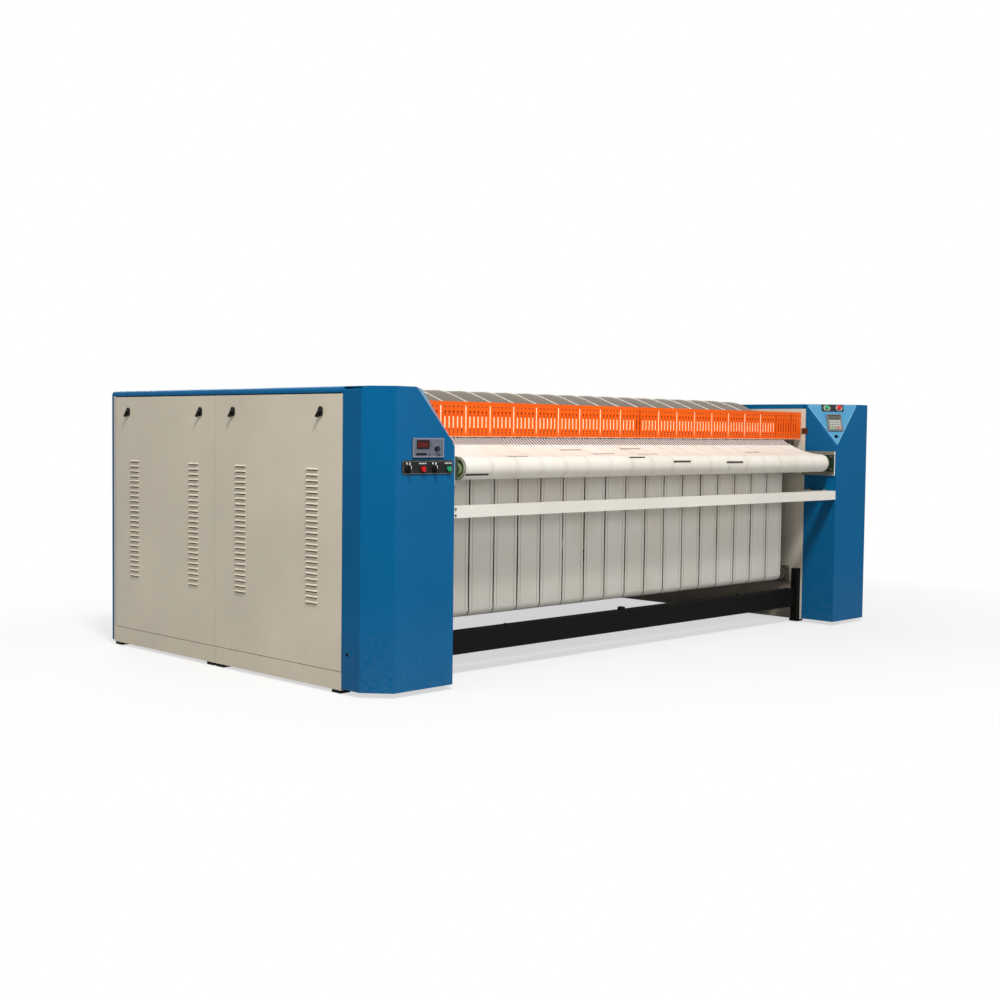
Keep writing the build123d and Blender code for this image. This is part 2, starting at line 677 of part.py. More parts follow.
def to_machine(face, x0, width):
    """Stand a (back, z) outline in the machine and give it its width along X."""
    place = Plane(origin=(x0, FRONT, 0), x_dir=(0, 1, 0), z_dir=(1, 0, 0))
    return extrude(place * face, width)


def belt_xs(gap):
    """Left edge of each belt, side by side and centred."""
    first = -BELT_COUNT * BELT_PITCH / 2
    return [first + index * BELT_PITCH + gap / 2 for index in range(BELT_COUNT)]


def sag_pulley(first, second, radius, straight):
    """Circle that a slack run follows between two rollers below it."""
    reach = [math.hypot(radius + roller[2], straight) for roller in (first, second)]
    dy, dz = second[0] - first[0], second[1] - first[1]
    span = math.hypot(dy, dz)
    along = (reach[0] ** 2 - reach[1] ** 2 + span**2) / (2 * span)
    up = math.sqrt(reach[0] ** 2 - along**2)
    return (first[0] + (along * dy - up * dz) / span, first[1] + (along * dz + up * dy) / span, radius, 1, 13)


HALF_BELT = BELT_THICK / 2
GUIDE = (GUIDE_BACK, GUIDE_Z, GUIDE_R + SKIN_CLEAR + HALF_BELT, 1, 55)
FEED = (FEED_BACK, FEED_Z, FEED_R + SKIN_CLEAR + HALF_BELT, -1, 49)
NIP = (NIP_BACK, NIP_Z, NIP_R + SKIN_CLEAR + HALF_BELT, -1, 45)
SAG = sag_pulley(FEED, NIP, SAG_R, SAG_STRAIGHT)
DRUM_A = (DRUM_BACKS[0], DRUM_Z, DRUM_R + SKIN_CLEAR + HALF_BELT, 1, 18)
MIDDLE = (MIDDLE_BACK, MIDDLE_Z, MIDDLE_R + SKIN_CLEAR + HALF_BELT, -1, 30)
DRUM_B = (DRUM_BACKS[1], DRUM_Z, DRUM_R + SKIN_CLEAR + HALF_BELT, 1, 18)
UPPER = (REAR_ROLLER_BACK, REAR_UPPER_Z, REAR_R + SKIN_CLEAR + HALF_BELT, -1, 45)
LOWER_REAR = (REAR_ROLLER_BACK, REAR_LOWER_Z, REAR_R + SKIN_CLEAR + HALF_BELT, -1, 46)
LOWER_FRONT = (LOWER_BACK, LOWER_Z, LOWER_R + SKIN_CLEAR + HALF_BELT, -1, 45)
LOOP = belt_path([GUIDE, FEED, SAG, NIP, DRUM_A, MIDDLE, DRUM_B, UPPER, LOWER_REAR, LOWER_FRONT])
CUT = 1.0                      # gap where one drawn stretch of belt ends and the next begins


def before(index):
    """Point just after the straight run that leads to this pulley begins."""
    start, end = LOOP[index - 1][4], LOOP[index][1]
    length = math.dist(start, end)
    share = CUT / length
    return (start[0] + (end[0] - start[0]) * share, start[1] + (end[1] - start[1]) * share)


feed_face = strip_face(LOOP, 0, 3, BELT_THICK, lead_in=None)
drum_face = strip_face(LOOP, 4, 7, BELT_THICK, lead_in=before(4))
rear_face = strip_face(LOOP, 8, 8, BELT_THICK, lead_in=before(8))
bottom_face = strip_face(LOOP, 9, 9, BELT_THICK, lead_in=before(9))
feed_width = BELT_PITCH - FEED_BELT_GAP
save("feed_belts", *[to_machine(feed_face, x, feed_width) for x in belt_xs(FEED_BELT_GAP)])
drum_width = BELT_COUNT * BELT_PITCH - FEED_BELT_GAP
save("drum_belts", to_machine(drum_face, -drum_width / 2, drum_width))
curtain_width = BELT_PITCH - CURTAIN_GAP
curtain_low, curtain_high = LOOP[9][4], LOOP[0][1]
curtain_face = make_face(
    Polyline(
        (curtain_low[0] - HALF_BELT, curtain_low[1] + CUT),
        (curtain_low[0] + HALF_BELT, curtain_low[1] + CUT),
        (curtain_high[0] + HALF_BELT, curtain_high[1] - CUT),
        (curtain_high[0] - HALF_BELT, curtain_high[1] - CUT),
        close=True,
    )
)
save("curtain_belts", *[to_machine(curtain_face, x, curtain_width) for x in belt_xs(CURTAIN_GAP)])
rear_runs = [to_machine(rear_face, x, curtain_width) for x in belt_xs(CURTAIN_GAP)]
bottom_runs = [to_machine(bottom_face, x, curtain_width) for x in belt_xs(CURTAIN_GAP)]
save("return_belts", *rear_runs, *bottom_runs)


# ---------------------------------------------------------------- guide cords and their bars
CORD_LINE = DRUM_R + SKIN_CLEAR + CORD_SIDE / 2
CORDS = belt_path(
    [
        (CORD_BAR_BACK, CORD_BAR_Z, CORD_BAR_R + SKIN_CLEAR + CORD_SIDE / 2, -1, 60),
        (DRUM_BACKS[0], DRUM_Z, CORD_LINE, -1, 14),
        (DRUM_BACKS[1], DRUM_Z, CORD_LINE, -1, 14),
        (REAR_BAR_BACK, REAR_BAR_Z, CORD_BAR_R + SKIN_CLEAR + CORD_SIDE / 2, -1, 60),
    ]
)
cord_face = strip_face(CORDS, 0, 3, CORD_SIDE)
cord_xs = [BELT_PITCH * index - CORD_SIDE / 2 for index in range(-BELT_COUNT // 2 + 1, BELT_COUNT // 2)]
save("guide_cords", *[to_machine(cord_face, x, CORD_SIDE) for x in cord_xs])
bar_half = INNER_X - 0.3
front_bar = flats_x(-bar_half, bar_half, CORD_BAR_BACK, CORD_BAR_Z, CORD_BAR_R, 12, corners=True)
rear_bar = flats_x(-bar_half, bar_half, REAR_BAR_BACK, REAR_BAR_Z, CORD_BAR_R, 12, corners=True)
save("cord_bars", front_bar, rear_bar)


# ---------------------------------------------------------------- cross bar, beams, uprights
bar_x = INNER_X - GAP
bar = block(-bar_x, bar_x, back(0), back(BAR_DEPTH), BAR_BOTTOM, BAR_BOTTOM + BAR_HEIGHT)
bar_inner = block(
    -bar_x - 1, bar_x + 1, back(3), back(BAR_DEPTH - 3), BAR_BOTTOM + 3, BAR_BOTTOM + BAR_HEIGHT - 3
)
save("cross_bar", bar - bar_inner)

brackets = []
for side in (-1, 1):
    y0, y1 = back(BAR_DEPTH), back(BRACKET_BACK)
    z1 = BAR_BOTTOM + BAR_HEIGHT
    shelf = block(side * (bar_x - 45), side * bar_x, y0, y1, z1 - 5, z1)
    brackets.append(shelf + block(side * (bar_x - 5), side * bar_x, y0, y1, BAR_BOTTOM, z1))
save("bar_brackets", *brackets)

beams = [
    block(-INNER_X + UPRIGHT_SIDE + GAP, INNER_X - UPRIGHT_SIDE - GAP, back(start), back(start + BEAM_DEPTH),
          BEAM_BOTTOM, BEAM_TOP)
    for start in (BEAM_FRONT, REAR_BEAM_BACK)
]
save("base_beams", *beams)

uprights = []
for side in (-1, 1):
    for start in (UPRIGHT_FRONT, REAR_BEAM_BACK + 10):
        x0, x1 = side * (INNER_X - UPRIGHT_SIDE), side * (INNER_X - 0.3)
        uprights.append(block(x0, x1, back(start), back(start + UPRIGHT_SIDE), WALL_BOTTOM, UPRIGHT_TOP))
save("beam_uprights", *uprights)

bolts = []
for side in (-1, 1):
    for distance in (62, 175):
        head = Pos(side * (bar_x - 22), back(distance), BAR_BOTTOM + BAR_HEIGHT)
        bolts.append(head * extrude(RegularPolygon(9, 6), 8, both=False))
    pin_end = INNER_X - GUARD_END_GAP - GUARD_EAR + 6
    bolts.append(flats_x(side * INNER_X, side * pin_end, PIVOT_BACK, PIVOT_Z, PIVOT_R, 12, corners=True))
save("fixing_bolts", *bolts)


# ---------------------------------------------------------------- finger guard
def guard():
    """Slotted finger guard in two panels joined by a rear rail, with pierced ears at its ends."""
    x_end = INNER_X - GUARD_END_GAP
    y0, y1 = back(GUARD_BACK), back(GUARD_BACK + GUARD_THICK)
    sheet = block(-x_end, x_end, y0, y1, GUARD_BOTTOM, GUARD_TOP)
    for z in (GUARD_BOTTOM, GUARD_TOP - GUARD_THICK):
        sheet = sheet + block(-x_end, x_end, y0, y0 + GUARD_LIP, z, z + GUARD_THICK)
    slots = []
    count = int((x_end - 20) / SLOT_PITCH)
    for index in range(-count, count):
        x = (index + 0.5) * SLOT_PITCH
        tall = index % TALL_EVERY == 0
        low, high = (TALL_LOW, TALL_HIGH) if tall else (SLOT_LOW, SLOT_HIGH)
        slots.append(block(x - SLOT_WIDTH / 2, x + SLOT_WIDTH / 2, y0 - 1, y1 + 1, low, high))
    sheet = sheet - slots
    half = GUARD_SPLIT / 2
    sheet = sheet - block(-half, half, y0 - 1, y0 + GUARD_THICK, GUARD_BOTTOM, GUARD_TOP - 6)
    for side in (-1, 1):
        ear = block(side * (x_end - 4), side * x_end, y0, y0 + 28, PIVOT_Z - 15, PIVOT_Z + 15)
        sheet = sheet + ear
    for side in (-1, 1):
        start, end = side * (x_end - 5), side * (x_end + 1)
        sheet = sheet - flats_x(start, end, PIVOT_BACK, PIVOT_Z, PIVOT_R + RUN_CLEAR, 12)
    return sheet


save("finger_guard", guard())


# ---------------------------------------------------------------- controls on the left column
def round_front(x, z, y0, reach, radius):
    """Disc that stands out of the front face from y0 (distance in front) by reach."""
    return extrude(front_place(x, z).offset(y0) * RegularPolygon(radius, ROUND_SIDES), reach)


switch_plate = block(SWITCH_LEFT, SWITCH_RIGHT, back(-SWITCH_THICK), back(0), SWITCH_BOTTOM, SWITCH_TOP)
switch_plate = chamfer(switch_plate.edges().filter_by(Axis.Y), SWITCH_CORNER)
for x in (*SELECTOR_XS, RED_X, GREEN_X):
    switch_plate = switch_plate - flats(front_place(x, CONTROL_Z), SELECTOR_R - 2, 8, -1, SWITCH_THICK + 1)
save("switch_plate", switch_plate)


def selector(x):
    """Round knob with a raised grip bar, on a spindle through the plate."""
    base = round_front(x, CONTROL_Z, SWITCH_THICK + 0.4, 7, SELECTOR_R)
    y0, y1 = back(-SWITCH_THICK - 20), back(-SWITCH_THICK - 7)
    grip = block(x - 4, x + 4, y0, y1, CONTROL_Z - 16, CONTROL_Z + 16)
    grip = chamfer(grip.edges().filter_by(Axis.Y), 2.5)
    spindle = flats(front_place(x, CONTROL_Z), 5, 8, -25, SWITCH_THICK + 0.6)
    return base + grip + spindle


def push_button(x):
    """Round button with a collar, and a stem to the contact block behind."""
    place = front_place(x, CONTROL_Z)
    cap = round_front(x, CONTROL_Z, SWITCH_THICK - 2, BUTTON_REACH + 2, SELECTOR_R - 2.4)
    return cap + flats(place, 5, 6, -25, SWITCH_THICK - 2)


for name, x in zip(("feed_selector", "heat_selector"), SELECTOR_XS):
    save(name, selector(x))
save("stop_button", push_button(RED_X))
save("start_button", push_button(GREEN_X))

display = block(DISPLAY_LEFT, DISPLAY_RIGHT, back(-DISPLAY_THICK), back(0), DISPLAY_BOTTOM, DISPLAY_TOP)
display = chamfer(display.faces().sort_by(Axis.Y)[0].edges(), 1.5)
window_x0, window_x1 = WINDOW_CENTRE_X - WINDOW_W / 2, WINDOW_CENTRE_X + WINDOW_W / 2
window_z0, window_z1 = WINDOW_CENTRE_Z - WINDOW_H / 2, WINDOW_CENTRE_Z + WINDOW_H / 2
display = display - block(
    window_x0, window_x1, back(-DISPLAY_THICK - 1), back(-DISPLAY_THICK + 2), window_z0, window_z1
)
display = display - flats(front_place(POT_X, POT_Z), 4, 8, -1, DISPLAY_THICK + 1)
save("speed_display", display)
pot = round_front(POT_X, POT_Z, DISPLAY_THICK + 0.4, 13, POT_R)
pot = pot + flats(front_place(POT_X, POT_Z), 3.4, 8, 1, DISPLAY_THICK + 0.6)
save("speed_knob", pot)


# ---------------------------------------------------------------- controls on the right facet
def facet_sheet():
    """Thin overlay that covers the whole control facet."""
    top = FACET_TOP_MIDDLE
    half = (Vector(FACET_X, -FACET_Y, 0).length) / 2
    height = (top - FACET_TIP).length
    margin = 6.0
    side, tip = half - margin * 1.8, margin * 2.2 - height
    return Polygon((-side, -margin), (0, tip), (side, -margin), align=None)


overlay_plane = facet_place(0, 0)
overlay = extrude(overlay_plane * facet_sheet(), FACET_PLATE)
station = extrude(facet_place(0, STATION_DOWN, FACET_PLATE) * Rectangle(STATION_W, STATION_H), STATION_THICK)
overlay = overlay + station
for spot in (FACET_GREEN, FACET_RED):
    overlay = overlay - flats(facet_place(spot, STATION_DOWN), BUTTON_R + GAP, 12, -15, 15)
overlay = overlay - flats(facet_place(0, FACET_HOLE_DOWN), FACET_HOLE_R, 12, -15, 15)
keypad = extrude(facet_place(0, KEYPAD_DOWN, FACET_PLATE) * Rectangle(KEYPAD_W, KEYPAD_H), KEYPAD_THICK)
keypad_edges = keypad.edges().filter_by(facet_place(0, 0))
keypad_front = keypad_edges.sort_by(lambda edge: edge.center().dot(FACET_NORMAL))[-4:]
keypad = chamfer(keypad_front, 4)
screen_down = KEYPAD_DOWN - KEYPAD_H / 2 + 26
keypad = keypad - facet_place(0, screen_down, FACET_PLATE + KEYPAD_THICK) * Box(70, 26, 3)
left_overlay = other_side(extrude(overlay_plane * facet_sheet(), FACET_PLATE))
save("facet_plates", overlay, left_overlay)
save("keypad", keypad)


def facet_button(spot):
    """Push button on the facet, with its stem inside the column."""
    lift = FACET_PLATE + STATION_THICK
    outline = facet_place(spot, STATION_DOWN, -2) * RegularPolygon(BUTTON_R, ROUND_SIDES)
    cap = extrude(outline, lift + 2 + BUTTON_REACH)
    stem = flats(facet_place(spot, STATION_DOWN), 5, 6, -22, -1)
    return cap + stem


save("facet_green_button", facet_button(FACET_GREEN))
save("facet_red_button", facet_button(FACET_RED))


# ---------------------------------------------------------------- drive and steam, inside the housings
def sprocket_chain():
    """Roller chain over both drum sprockets and the motor sprocket."""
    line = CHAIN_CLEAR + CHAIN_THICK / 2
    path = belt_path(
        [
            (DRUM_BACKS[0], DRUM_Z, SPROCKET_R + line, -1, 20),
            (DRUM_BACKS[1], DRUM_Z, SPROCKET_R + line, -1, 20),
            (MOTOR_BACK, MOTOR_Z, MOTOR_SPROCKET_R + line, -1, 30),
        ]
    )
    faces = []
    for side in (0.5, -0.5):
        points = []
        for pulley, arrive, a0, turn, leave, onward in path:
            points.extend(bend(pulley, a0, turn, pulley[2] - side * CHAIN_THICK))
        faces.append(make_face(Polyline(*points, close=True)))
    loop_face = faces[1] - faces[0]
    return to_machine(loop_face, SPROCKET_X + (SPROCKET_THICK - CHAIN_WIDTH) / 2, CHAIN_WIDTH)


save("drive_chain", sprocket_chain())

motor_sprocket = toothed_disc(
    SPROCKET_X, MOTOR_BACK, MOTOR_Z, MOTOR_SPROCKET_R, MOTOR_TEETH, SPROCKET_THICK
)
motor_shaft = flats_x(SPROCKET_X, SPROCKET_X + 70, MOTOR_BACK, MOTOR_Z, MOTOR_SHAFT_R, 12, corners=True)
motor_sprocket = motor_sprocket + motor_shaft
save("motor_sprocket", motor_sprocket)

gear_x0 = SPROCKET_X + SPROCKET_THICK + 12
gear_x1 = gear_x0 + GEAR_CASE_WIDTH
gear_y0, gear_y1 = back(MOTOR_BACK - GEAR_CASE_HALF), back(MOTOR_BACK + GEAR_CASE_HALF)
gear_z0 = MOTOR_Z - GEAR_CASE_FALL
gear_case = block(gear_x0, gear_x1, gear_y0, gear_y1, gear_z0, MOTOR_Z + GEAR_CASE_RISE)
gear_case = chamfer(gear_case.edges().filter_by(Axis.X), 16)
gear_case = gear_case - flats_x(gear_x0 - 1, gear_x0 + 60, MOTOR_BACK, MOTOR_Z, MOTOR_SHAFT_R + RUN_CLEAR, 12)
motor_body = flats_x(gear_x1, gear_x1 + MOTOR_BODY_LENGTH, MOTOR_BACK, MOTOR_Z, MOTOR_BODY_R, 12)
shelf_y0, shelf_y1 = back(MOTOR_BACK - MOTOR_BRACKET_HALF), back(MOTOR_BACK + MOTOR_BRACKET_HALF)
wall_x = INNER_X + WALL_PLATE
motor_base = block(wall_x, gear_x1, shelf_y0, shelf_y1, gear_z0 - MOTOR_BRACKET_THICK, gear_z0)
motor_leg = block(
    wall_x, wall_x + MOTOR_BRACKET_THICK, shelf_y0, shelf_y1, gear_z0 - MOTOR_BRACKET_DROP, gear_z0
)
save("gear_motor", gear_case + motor_body + motor_base + motor_leg)


unions = []
for distance in DRUM_BACKS:
    x0 = -JOURNAL_END - 0.5
    casing = flats_x(x0 - UNION_LENGTH, x0 + UNION_GRIP, distance, DRUM_Z, UNION_R, 12)
    casing = casing - flats_x(x0, x0 + UNION_GRIP + 1, distance, DRUM_Z, JOURNAL_R + RUN_CLEAR, 16)
    drop_z0 = DRUM_Z - PIPE_DROP
    pipe_place = Plane(origin=(x0 - UNION_LENGTH / 2, back(distance), drop_z0), z_dir=(0, 0, 1))
    pipe = flats(pipe_place, PIPE_R, 8, 0, PIPE_DROP - UNION_R / 2)
    elbow = block(
        x0 - UNION_LENGTH / 2 - 30, x0 - UNION_LENGTH / 2 + 30, back(distance) - 30, back(distance) + 30,
        drop_z0 - 30, drop_z0 + 10,
    )
    unions.append(casing + pipe + elbow)
save("rotary_unions", *unions)
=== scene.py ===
import bpy
import bmesh
import math
import random
from mathutils import Matrix, Vector


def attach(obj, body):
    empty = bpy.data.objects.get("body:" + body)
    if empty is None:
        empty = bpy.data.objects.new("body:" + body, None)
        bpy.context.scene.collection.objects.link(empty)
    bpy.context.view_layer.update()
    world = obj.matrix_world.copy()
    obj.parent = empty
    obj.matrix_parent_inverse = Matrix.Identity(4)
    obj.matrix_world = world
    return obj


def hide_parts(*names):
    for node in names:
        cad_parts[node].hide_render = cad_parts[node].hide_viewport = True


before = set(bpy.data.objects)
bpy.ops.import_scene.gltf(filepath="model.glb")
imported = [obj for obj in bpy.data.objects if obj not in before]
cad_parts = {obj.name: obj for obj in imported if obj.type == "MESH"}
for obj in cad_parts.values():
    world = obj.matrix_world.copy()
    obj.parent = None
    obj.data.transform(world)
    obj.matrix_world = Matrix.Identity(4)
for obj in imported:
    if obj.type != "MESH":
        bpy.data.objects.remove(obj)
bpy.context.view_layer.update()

# Flatwork ironer, in metres. "back" is the distance behind the front face of the end housings.
FRONT = -1.0845
INNER, OUTER = 1.589, 2.035
BELTS, PITCH = 18, 0.168
SLOT_PITCH, TALL_EVERY = 0.027, 6.0      # slots of the finger guard, and every which one is tall


def at(back):
    """Y of a point this far behind the front face."""
    return FRONT + back


# ------------------------------------------------------------------ shader kit
class Value:
    """A node's output socket that can be used in sums."""

    def __init__(self, finish, socket):
        self.finish, self.socket = finish, socket

    def math(self, operation, *terms):
        return self.finish.add("ShaderNodeMath", {"operation": operation}, dict(enumerate(terms)))

    def __add__(self, other):
        return self.math("ADD", self, other)

    def __sub__(self, other):
        return self.math("SUBTRACT", self, other)

    def __rsub__(self, other):
        return self.math("SUBTRACT", other, self)

    def __mul__(self, other):
        return self.math("MULTIPLY", self, other)

    def __truediv__(self, other):
        return self.math("DIVIDE", self, other)

    def __lt__(self, other):
        return self.math("LESS_THAN", self, other)

    def __gt__(self, other):
        return self.math("GREATER_THAN", self, other)

    def wrap(self, period):
        """Position within a repeat, from 0 to period."""
        return self.math("FLOORED_MODULO", self, period)

    def size(self):
        return self.math("ABSOLUTE", self)

    def floor(self):
        return self.math("FLOOR", self)

    def power(self, exponent):
        return self.math("POWER", self, exponent)


class Finish:
    """A material built from a Principled shader."""

    def __init__(self, name, colour, roughness=0.5, metallic=0.0, **fixed):
        self.material = bpy.data.materials.new(name)
        self.material.use_nodes = True
        self.tree = self.material.node_tree
        self.shader = self.tree.nodes["Principled BSDF"]
        self.set("Base Color", colour if isinstance(colour, Value) else (*colour, 1.0))
        self.set("Roughness", roughness)
        self.set("Metallic", metallic)
        for key, value in fixed.items():
            self.set(key.replace("_", " "), value)

    def add(self, kind, settings=None, inputs=None, output=0):
        """Any node: its settings first, then the values or links of its sockets."""
        node = self.tree.nodes.new(kind)
        for key, value in (settings or {}).items():
            if key == "stops":
                ramp = node.color_ramp
                for index, (place, colour) in enumerate(value):
                    stop = ramp.elements[index] if index < 2 else ramp.elements.new(place)
                    stop.position, stop.color = place, (*colour, 1.0)
            else:
                setattr(node, key, value)
        for key, value in (inputs or {}).items():
            if isinstance(value, Value):
                self.tree.links.new(value.socket, node.inputs[key])
            else:
                node.inputs[key].default_value = value
        return Value(self, node.outputs[output])

    def set(self, socket, value):
        """Give one of the main shader's sockets a value or a link."""
        if isinstance(value, Value):
            self.tree.links.new(value.socket, self.shader.inputs[socket])
        else:
            self.shader.inputs[socket].default_value = value

    def place(self):
        """Object coordinates."""
        return self.add("ShaderNodeTexCoord", output=3)

    def axes(self):
        """Object X, Y and Z as three values."""
        vector = self.place()
        node = self.add("ShaderNodeSeparateXYZ", inputs={0: vector})
        parts = node.socket.node.outputs
        return [Value(self, parts[index]) for index in range(3)]

    def stretch(self, scale):
        """Object coordinates, scaled per axis."""
        return self.add("ShaderNodeMapping", inputs={"Vector": self.place(), "Scale": scale})

    def noise(self, scale, detail=3.0, vector=None, rough=0.5):
        """Noise from 0 to 1, scale in repeats per metre."""
        return self.add("ShaderNodeTexNoise", inputs={"Vector": vector or self.place(), "Scale": scale,
                                                      "Detail": detail, "Roughness": rough})

    def ramp(self, value, low, high, low_out=0.0, high_out=1.0):
        """Straight ramp of a value between two limits."""
        return self.add("ShaderNodeMapRange", {"clamp": True}, {0: value, 1: low, 2: high, 3: low_out, 4: high_out})

    def mix(self, factor, first, second):
        """Blend of two colours."""
        sides = {0: factor, 6: first if isinstance(first, Value) else (*first, 1.0)}
        sides[7] = second if isinstance(second, Value) else (*second, 1.0)
        return self.add("ShaderNodeMix", {"data_type": "RGBA"}, sides, output=2)

    def bump(self, height, strength, distance=0.001):
        """Relief from a height value."""
        bump = self.add("ShaderNodeBump", inputs={"Height": height, "Strength": strength, "Distance": distance})
        self.set("Normal", bump)

    def on(self, *objects):
        """Put this finish on objects, in every material slot they have."""
        for item in objects:
            if not item.data.materials:
                item.data.materials.append(self.material)
            for index in range(len(item.data.materials)):
                item.data.materials[index] = self.material
        return self


def srgb(red, green, blue):
    """Screen colour, 0 to 255, as linear light."""
    out = []
    for channel in (red, green, blue):
        share = channel / 255
        out.append(share / 12.92 if share <= 0.04045 else ((share + 0.055) / 1.055) ** 2.4)
    return tuple(out)


def shade(colour, factor):
    """The same colour, darker or lighter."""
    return tuple(min(1.0, channel * factor) for channel in colour)


def powder_coat(name, colour, roughness=0.42, dust=0.05, grain=0.12):
    """Baked powder coat: orange-peel relief, faint clouding, dust that gathers low down."""
    coat = Finish(name, colour, roughness, 0.0, Specular_IOR_Level=0.14)
    cloud = coat.noise(2.2, 4.0)
    speck = coat.noise(60.0, 2.0)
    tint = coat.mix(coat.ramp(cloud, 0.35, 0.7), shade(colour, 0.95), shade(colour, 1.05))
    height = coat.axes()[2]
    low = coat.ramp(height, 0.0, 0.45, dust, 0.0) * coat.ramp(speck, 0.3, 0.75)
    coat.set("Base Color", coat.mix(low, tint, srgb(150, 140, 122)))
    coat.set("Roughness", coat.ramp(cloud, 0.3, 0.75, roughness - 0.05, roughness + 0.07) + low * 0.5)
    coat.bump(coat.noise(700.0, 1.0) * 0.7 + coat.noise(9.0, 2.0) * 1.5, grain, 0.0004)
    return coat


def bare_steel(name, colour, roughness, across="X", streaks=900.0):
    """Turned or ground steel: fine streaks and soft stains."""
    steel = Finish(name, colour, roughness, 1.0)
    scale = {"X": (streaks, 6.0, 6.0), "Y": (6.0, streaks, 6.0), "Z": (6.0, 6.0, streaks)}[across]
    lines = steel.noise(1.0, 2.0, steel.stretch(scale))
    stain = steel.noise(5.0, 4.0)
    steel.set("Base Color", steel.mix(steel.ramp(stain, 0.4, 0.8, 0.0, 0.5), colour, shade(colour, 0.72)))
    steel.set("Roughness", steel.ramp(lines, 0.25, 0.75, roughness - 0.06, roughness + 0.1))
    steel.bump(lines, 0.15, 0.0003)
    return steel


def casting(name, colour, roughness=0.5, grey_behind=False):
    """Painted casting: pebbled skin and grease in the hollows. The pair in front is green, the others grey."""
    skin = Finish(name, colour, roughness, 0.0, Specular_IOR_Level=0.4)
    pebble = skin.noise(320.0, 3.0)
    cloud = skin.noise(14.0, 3.0)
    if grey_behind:
        colour = skin.mix(skin.axes()[1] > at(0.14), colour, srgb(122, 122, 114))
    greasy = skin.mix(0.4, colour, (0.01, 0.01, 0.008)) if grey_behind else shade(colour, 0.6)
    skin.set("Base Color", skin.mix(skin.ramp(cloud, 0.45, 0.75), colour, greasy))
    skin.set("Roughness", skin.ramp(cloud, 0.3, 0.7, roughness + 0.1, roughness - 0.1))
    skin.bump(pebble, 0.35, 0.0008)
    return skin


def plastic(name, colour, roughness=0.4, grain=0.15, scale=900.0):
    """Moulded plastic with a fine spark-eroded grain."""
    moulded = Finish(name, colour, roughness, 0.0, Specular_IOR_Level=0.35)
    fine = moulded.noise(scale, 2.0)
    wear = moulded.noise(30.0, 3.0)
    moulded.set("Base Color", moulded.mix(moulded.ramp(wear, 0.4, 0.8, 0.0, 0.25), colour, shade(colour, 1.25)))
    moulded.set("Roughness", moulded.ramp(wear, 0.3, 0.8, roughness - 0.04, roughness + 0.08))
    moulded.bump(fine, grain, 0.0002)
    return moulded


BLUE, BEIGE = srgb(0, 98, 150), srgb(230, 220, 200)
blue_coat = powder_coat("housing blue powder coat", BLUE, 0.38, 0.10)
beige_coat = powder_coat("door beige powder coat", BEIGE, 0.5, 0.10)
wall_coat = powder_coat("wall beige powder coat", srgb(216, 208, 192), 0.5, 0.12)
white_coat = powder_coat("cross bar white coat", srgb(236, 232, 222), 0.4, 0.03)
black_coat = powder_coat("beam black coat", srgb(12, 11, 9), 0.55, 0.0)
grey_coat = powder_coat("bearing plate grey coat", srgb(140, 138, 126), 0.5, 0.02)
film_blue = powder_coat("facet film", srgb(78, 146, 184), 0.32, 0.0, 0.05)
pale_trim = powder_coat("facet film edge", srgb(128, 178, 206), 0.35, 0.0, 0.05)
drum_steel = bare_steel("drum steel", srgb(188, 174, 158), 0.36, "X", 260.0)
roller_steel = bare_steel("roller steel", srgb(178, 176, 168), 0.34, "X")
shaft_steel = bare_steel("shaft steel", srgb(150, 148, 142), 0.3, "X")
zinc = bare_steel("zinc plated bolts", srgb(176, 170, 150), 0.35, "Z")
brown_bolt = bare_steel("browned pivot bolt", srgb(110, 84, 60), 0.5, "X")
bearing_green = casting("bearing casting", srgb(36, 58, 44), 0.42, grey_behind=True)
hub_green = casting("roller hub green", srgb(186, 204, 152), 0.4)
motor_grey = casting("motor casting", srgb(96, 108, 118), 0.45)
union_grey = casting("rotary union casting", srgb(120, 120, 116), 0.5)
oiled_chain = bare_steel("oiled chain", srgb(86, 80, 72), 0.42, "X")
black_plastic = plastic("switch black", srgb(6, 6, 8), 0.45)
latch_black = plastic("latch black", srgb(26, 25, 24), 0.42, 0.25)
grey_plastic = plastic("display grey", srgb(98, 104, 118), 0.42)
dark_grey = plastic("display dark grey", srgb(70, 76, 90), 0.4)
pad_grey = plastic("keypad grey", srgb(118, 118, 116), 0.45)
knob_dark = plastic("knob dark", srgb(30, 34, 48), 0.35)
label_pale = plastic("blank pale label", srgb(214, 214, 208), 0.55)
key_pale = plastic("pale key", srgb(176, 178, 170), 0.5)
key_green = plastic("green key", srgb(140, 176, 130), 0.5)
key_pink = plastic("pink key", srgb(206, 120, 128), 0.5)
screen_grey = plastic("dim screen", srgb(86, 88, 82), 0.2, 0.02)
button_red = plastic("button red", srgb(206, 20, 28), 0.25, 0.05)
button_green = plastic("button green", srgb(34, 158, 100), 0.25, 0.05)
foot_rubber = plastic("foot rubber", srgb(30, 29, 27), 0.8, 0.4, 300.0)
seal_dark = plastic("dark gap", srgb(16, 15, 14), 0.9)
display_edge = plastic("display edge grey", srgb(140, 148, 164), 0.4)
# painted shade: the dark strips under the louvre hoods
louvre_shade = plastic("louvre painted shade", srgb(112, 102, 84), 0.8)
splice_dark = plastic("dark splice lacing", srgb(72, 60, 54), 0.7)
splice_pale = plastic("pale splice lacing", srgb(150, 126, 116), 0.8)
lip_pale = powder_coat("pale guard lip", srgb(240, 214, 180), 0.5, 0.0)


def selector_plastic():
    """Black plastic with a pale pointer line down each grip."""
    knob = plastic("selector black", srgb(24, 25, 28), 0.32)
    x, y, z = knob.axes()
    near = ((x + 1.866).size() < 0.0016) + ((x + 1.714).size() < 0.0016)
    knob.set("Base Color", knob.mix(near * (z > 0.994), srgb(24, 25, 28), srgb(226, 224, 216)))
    return knob


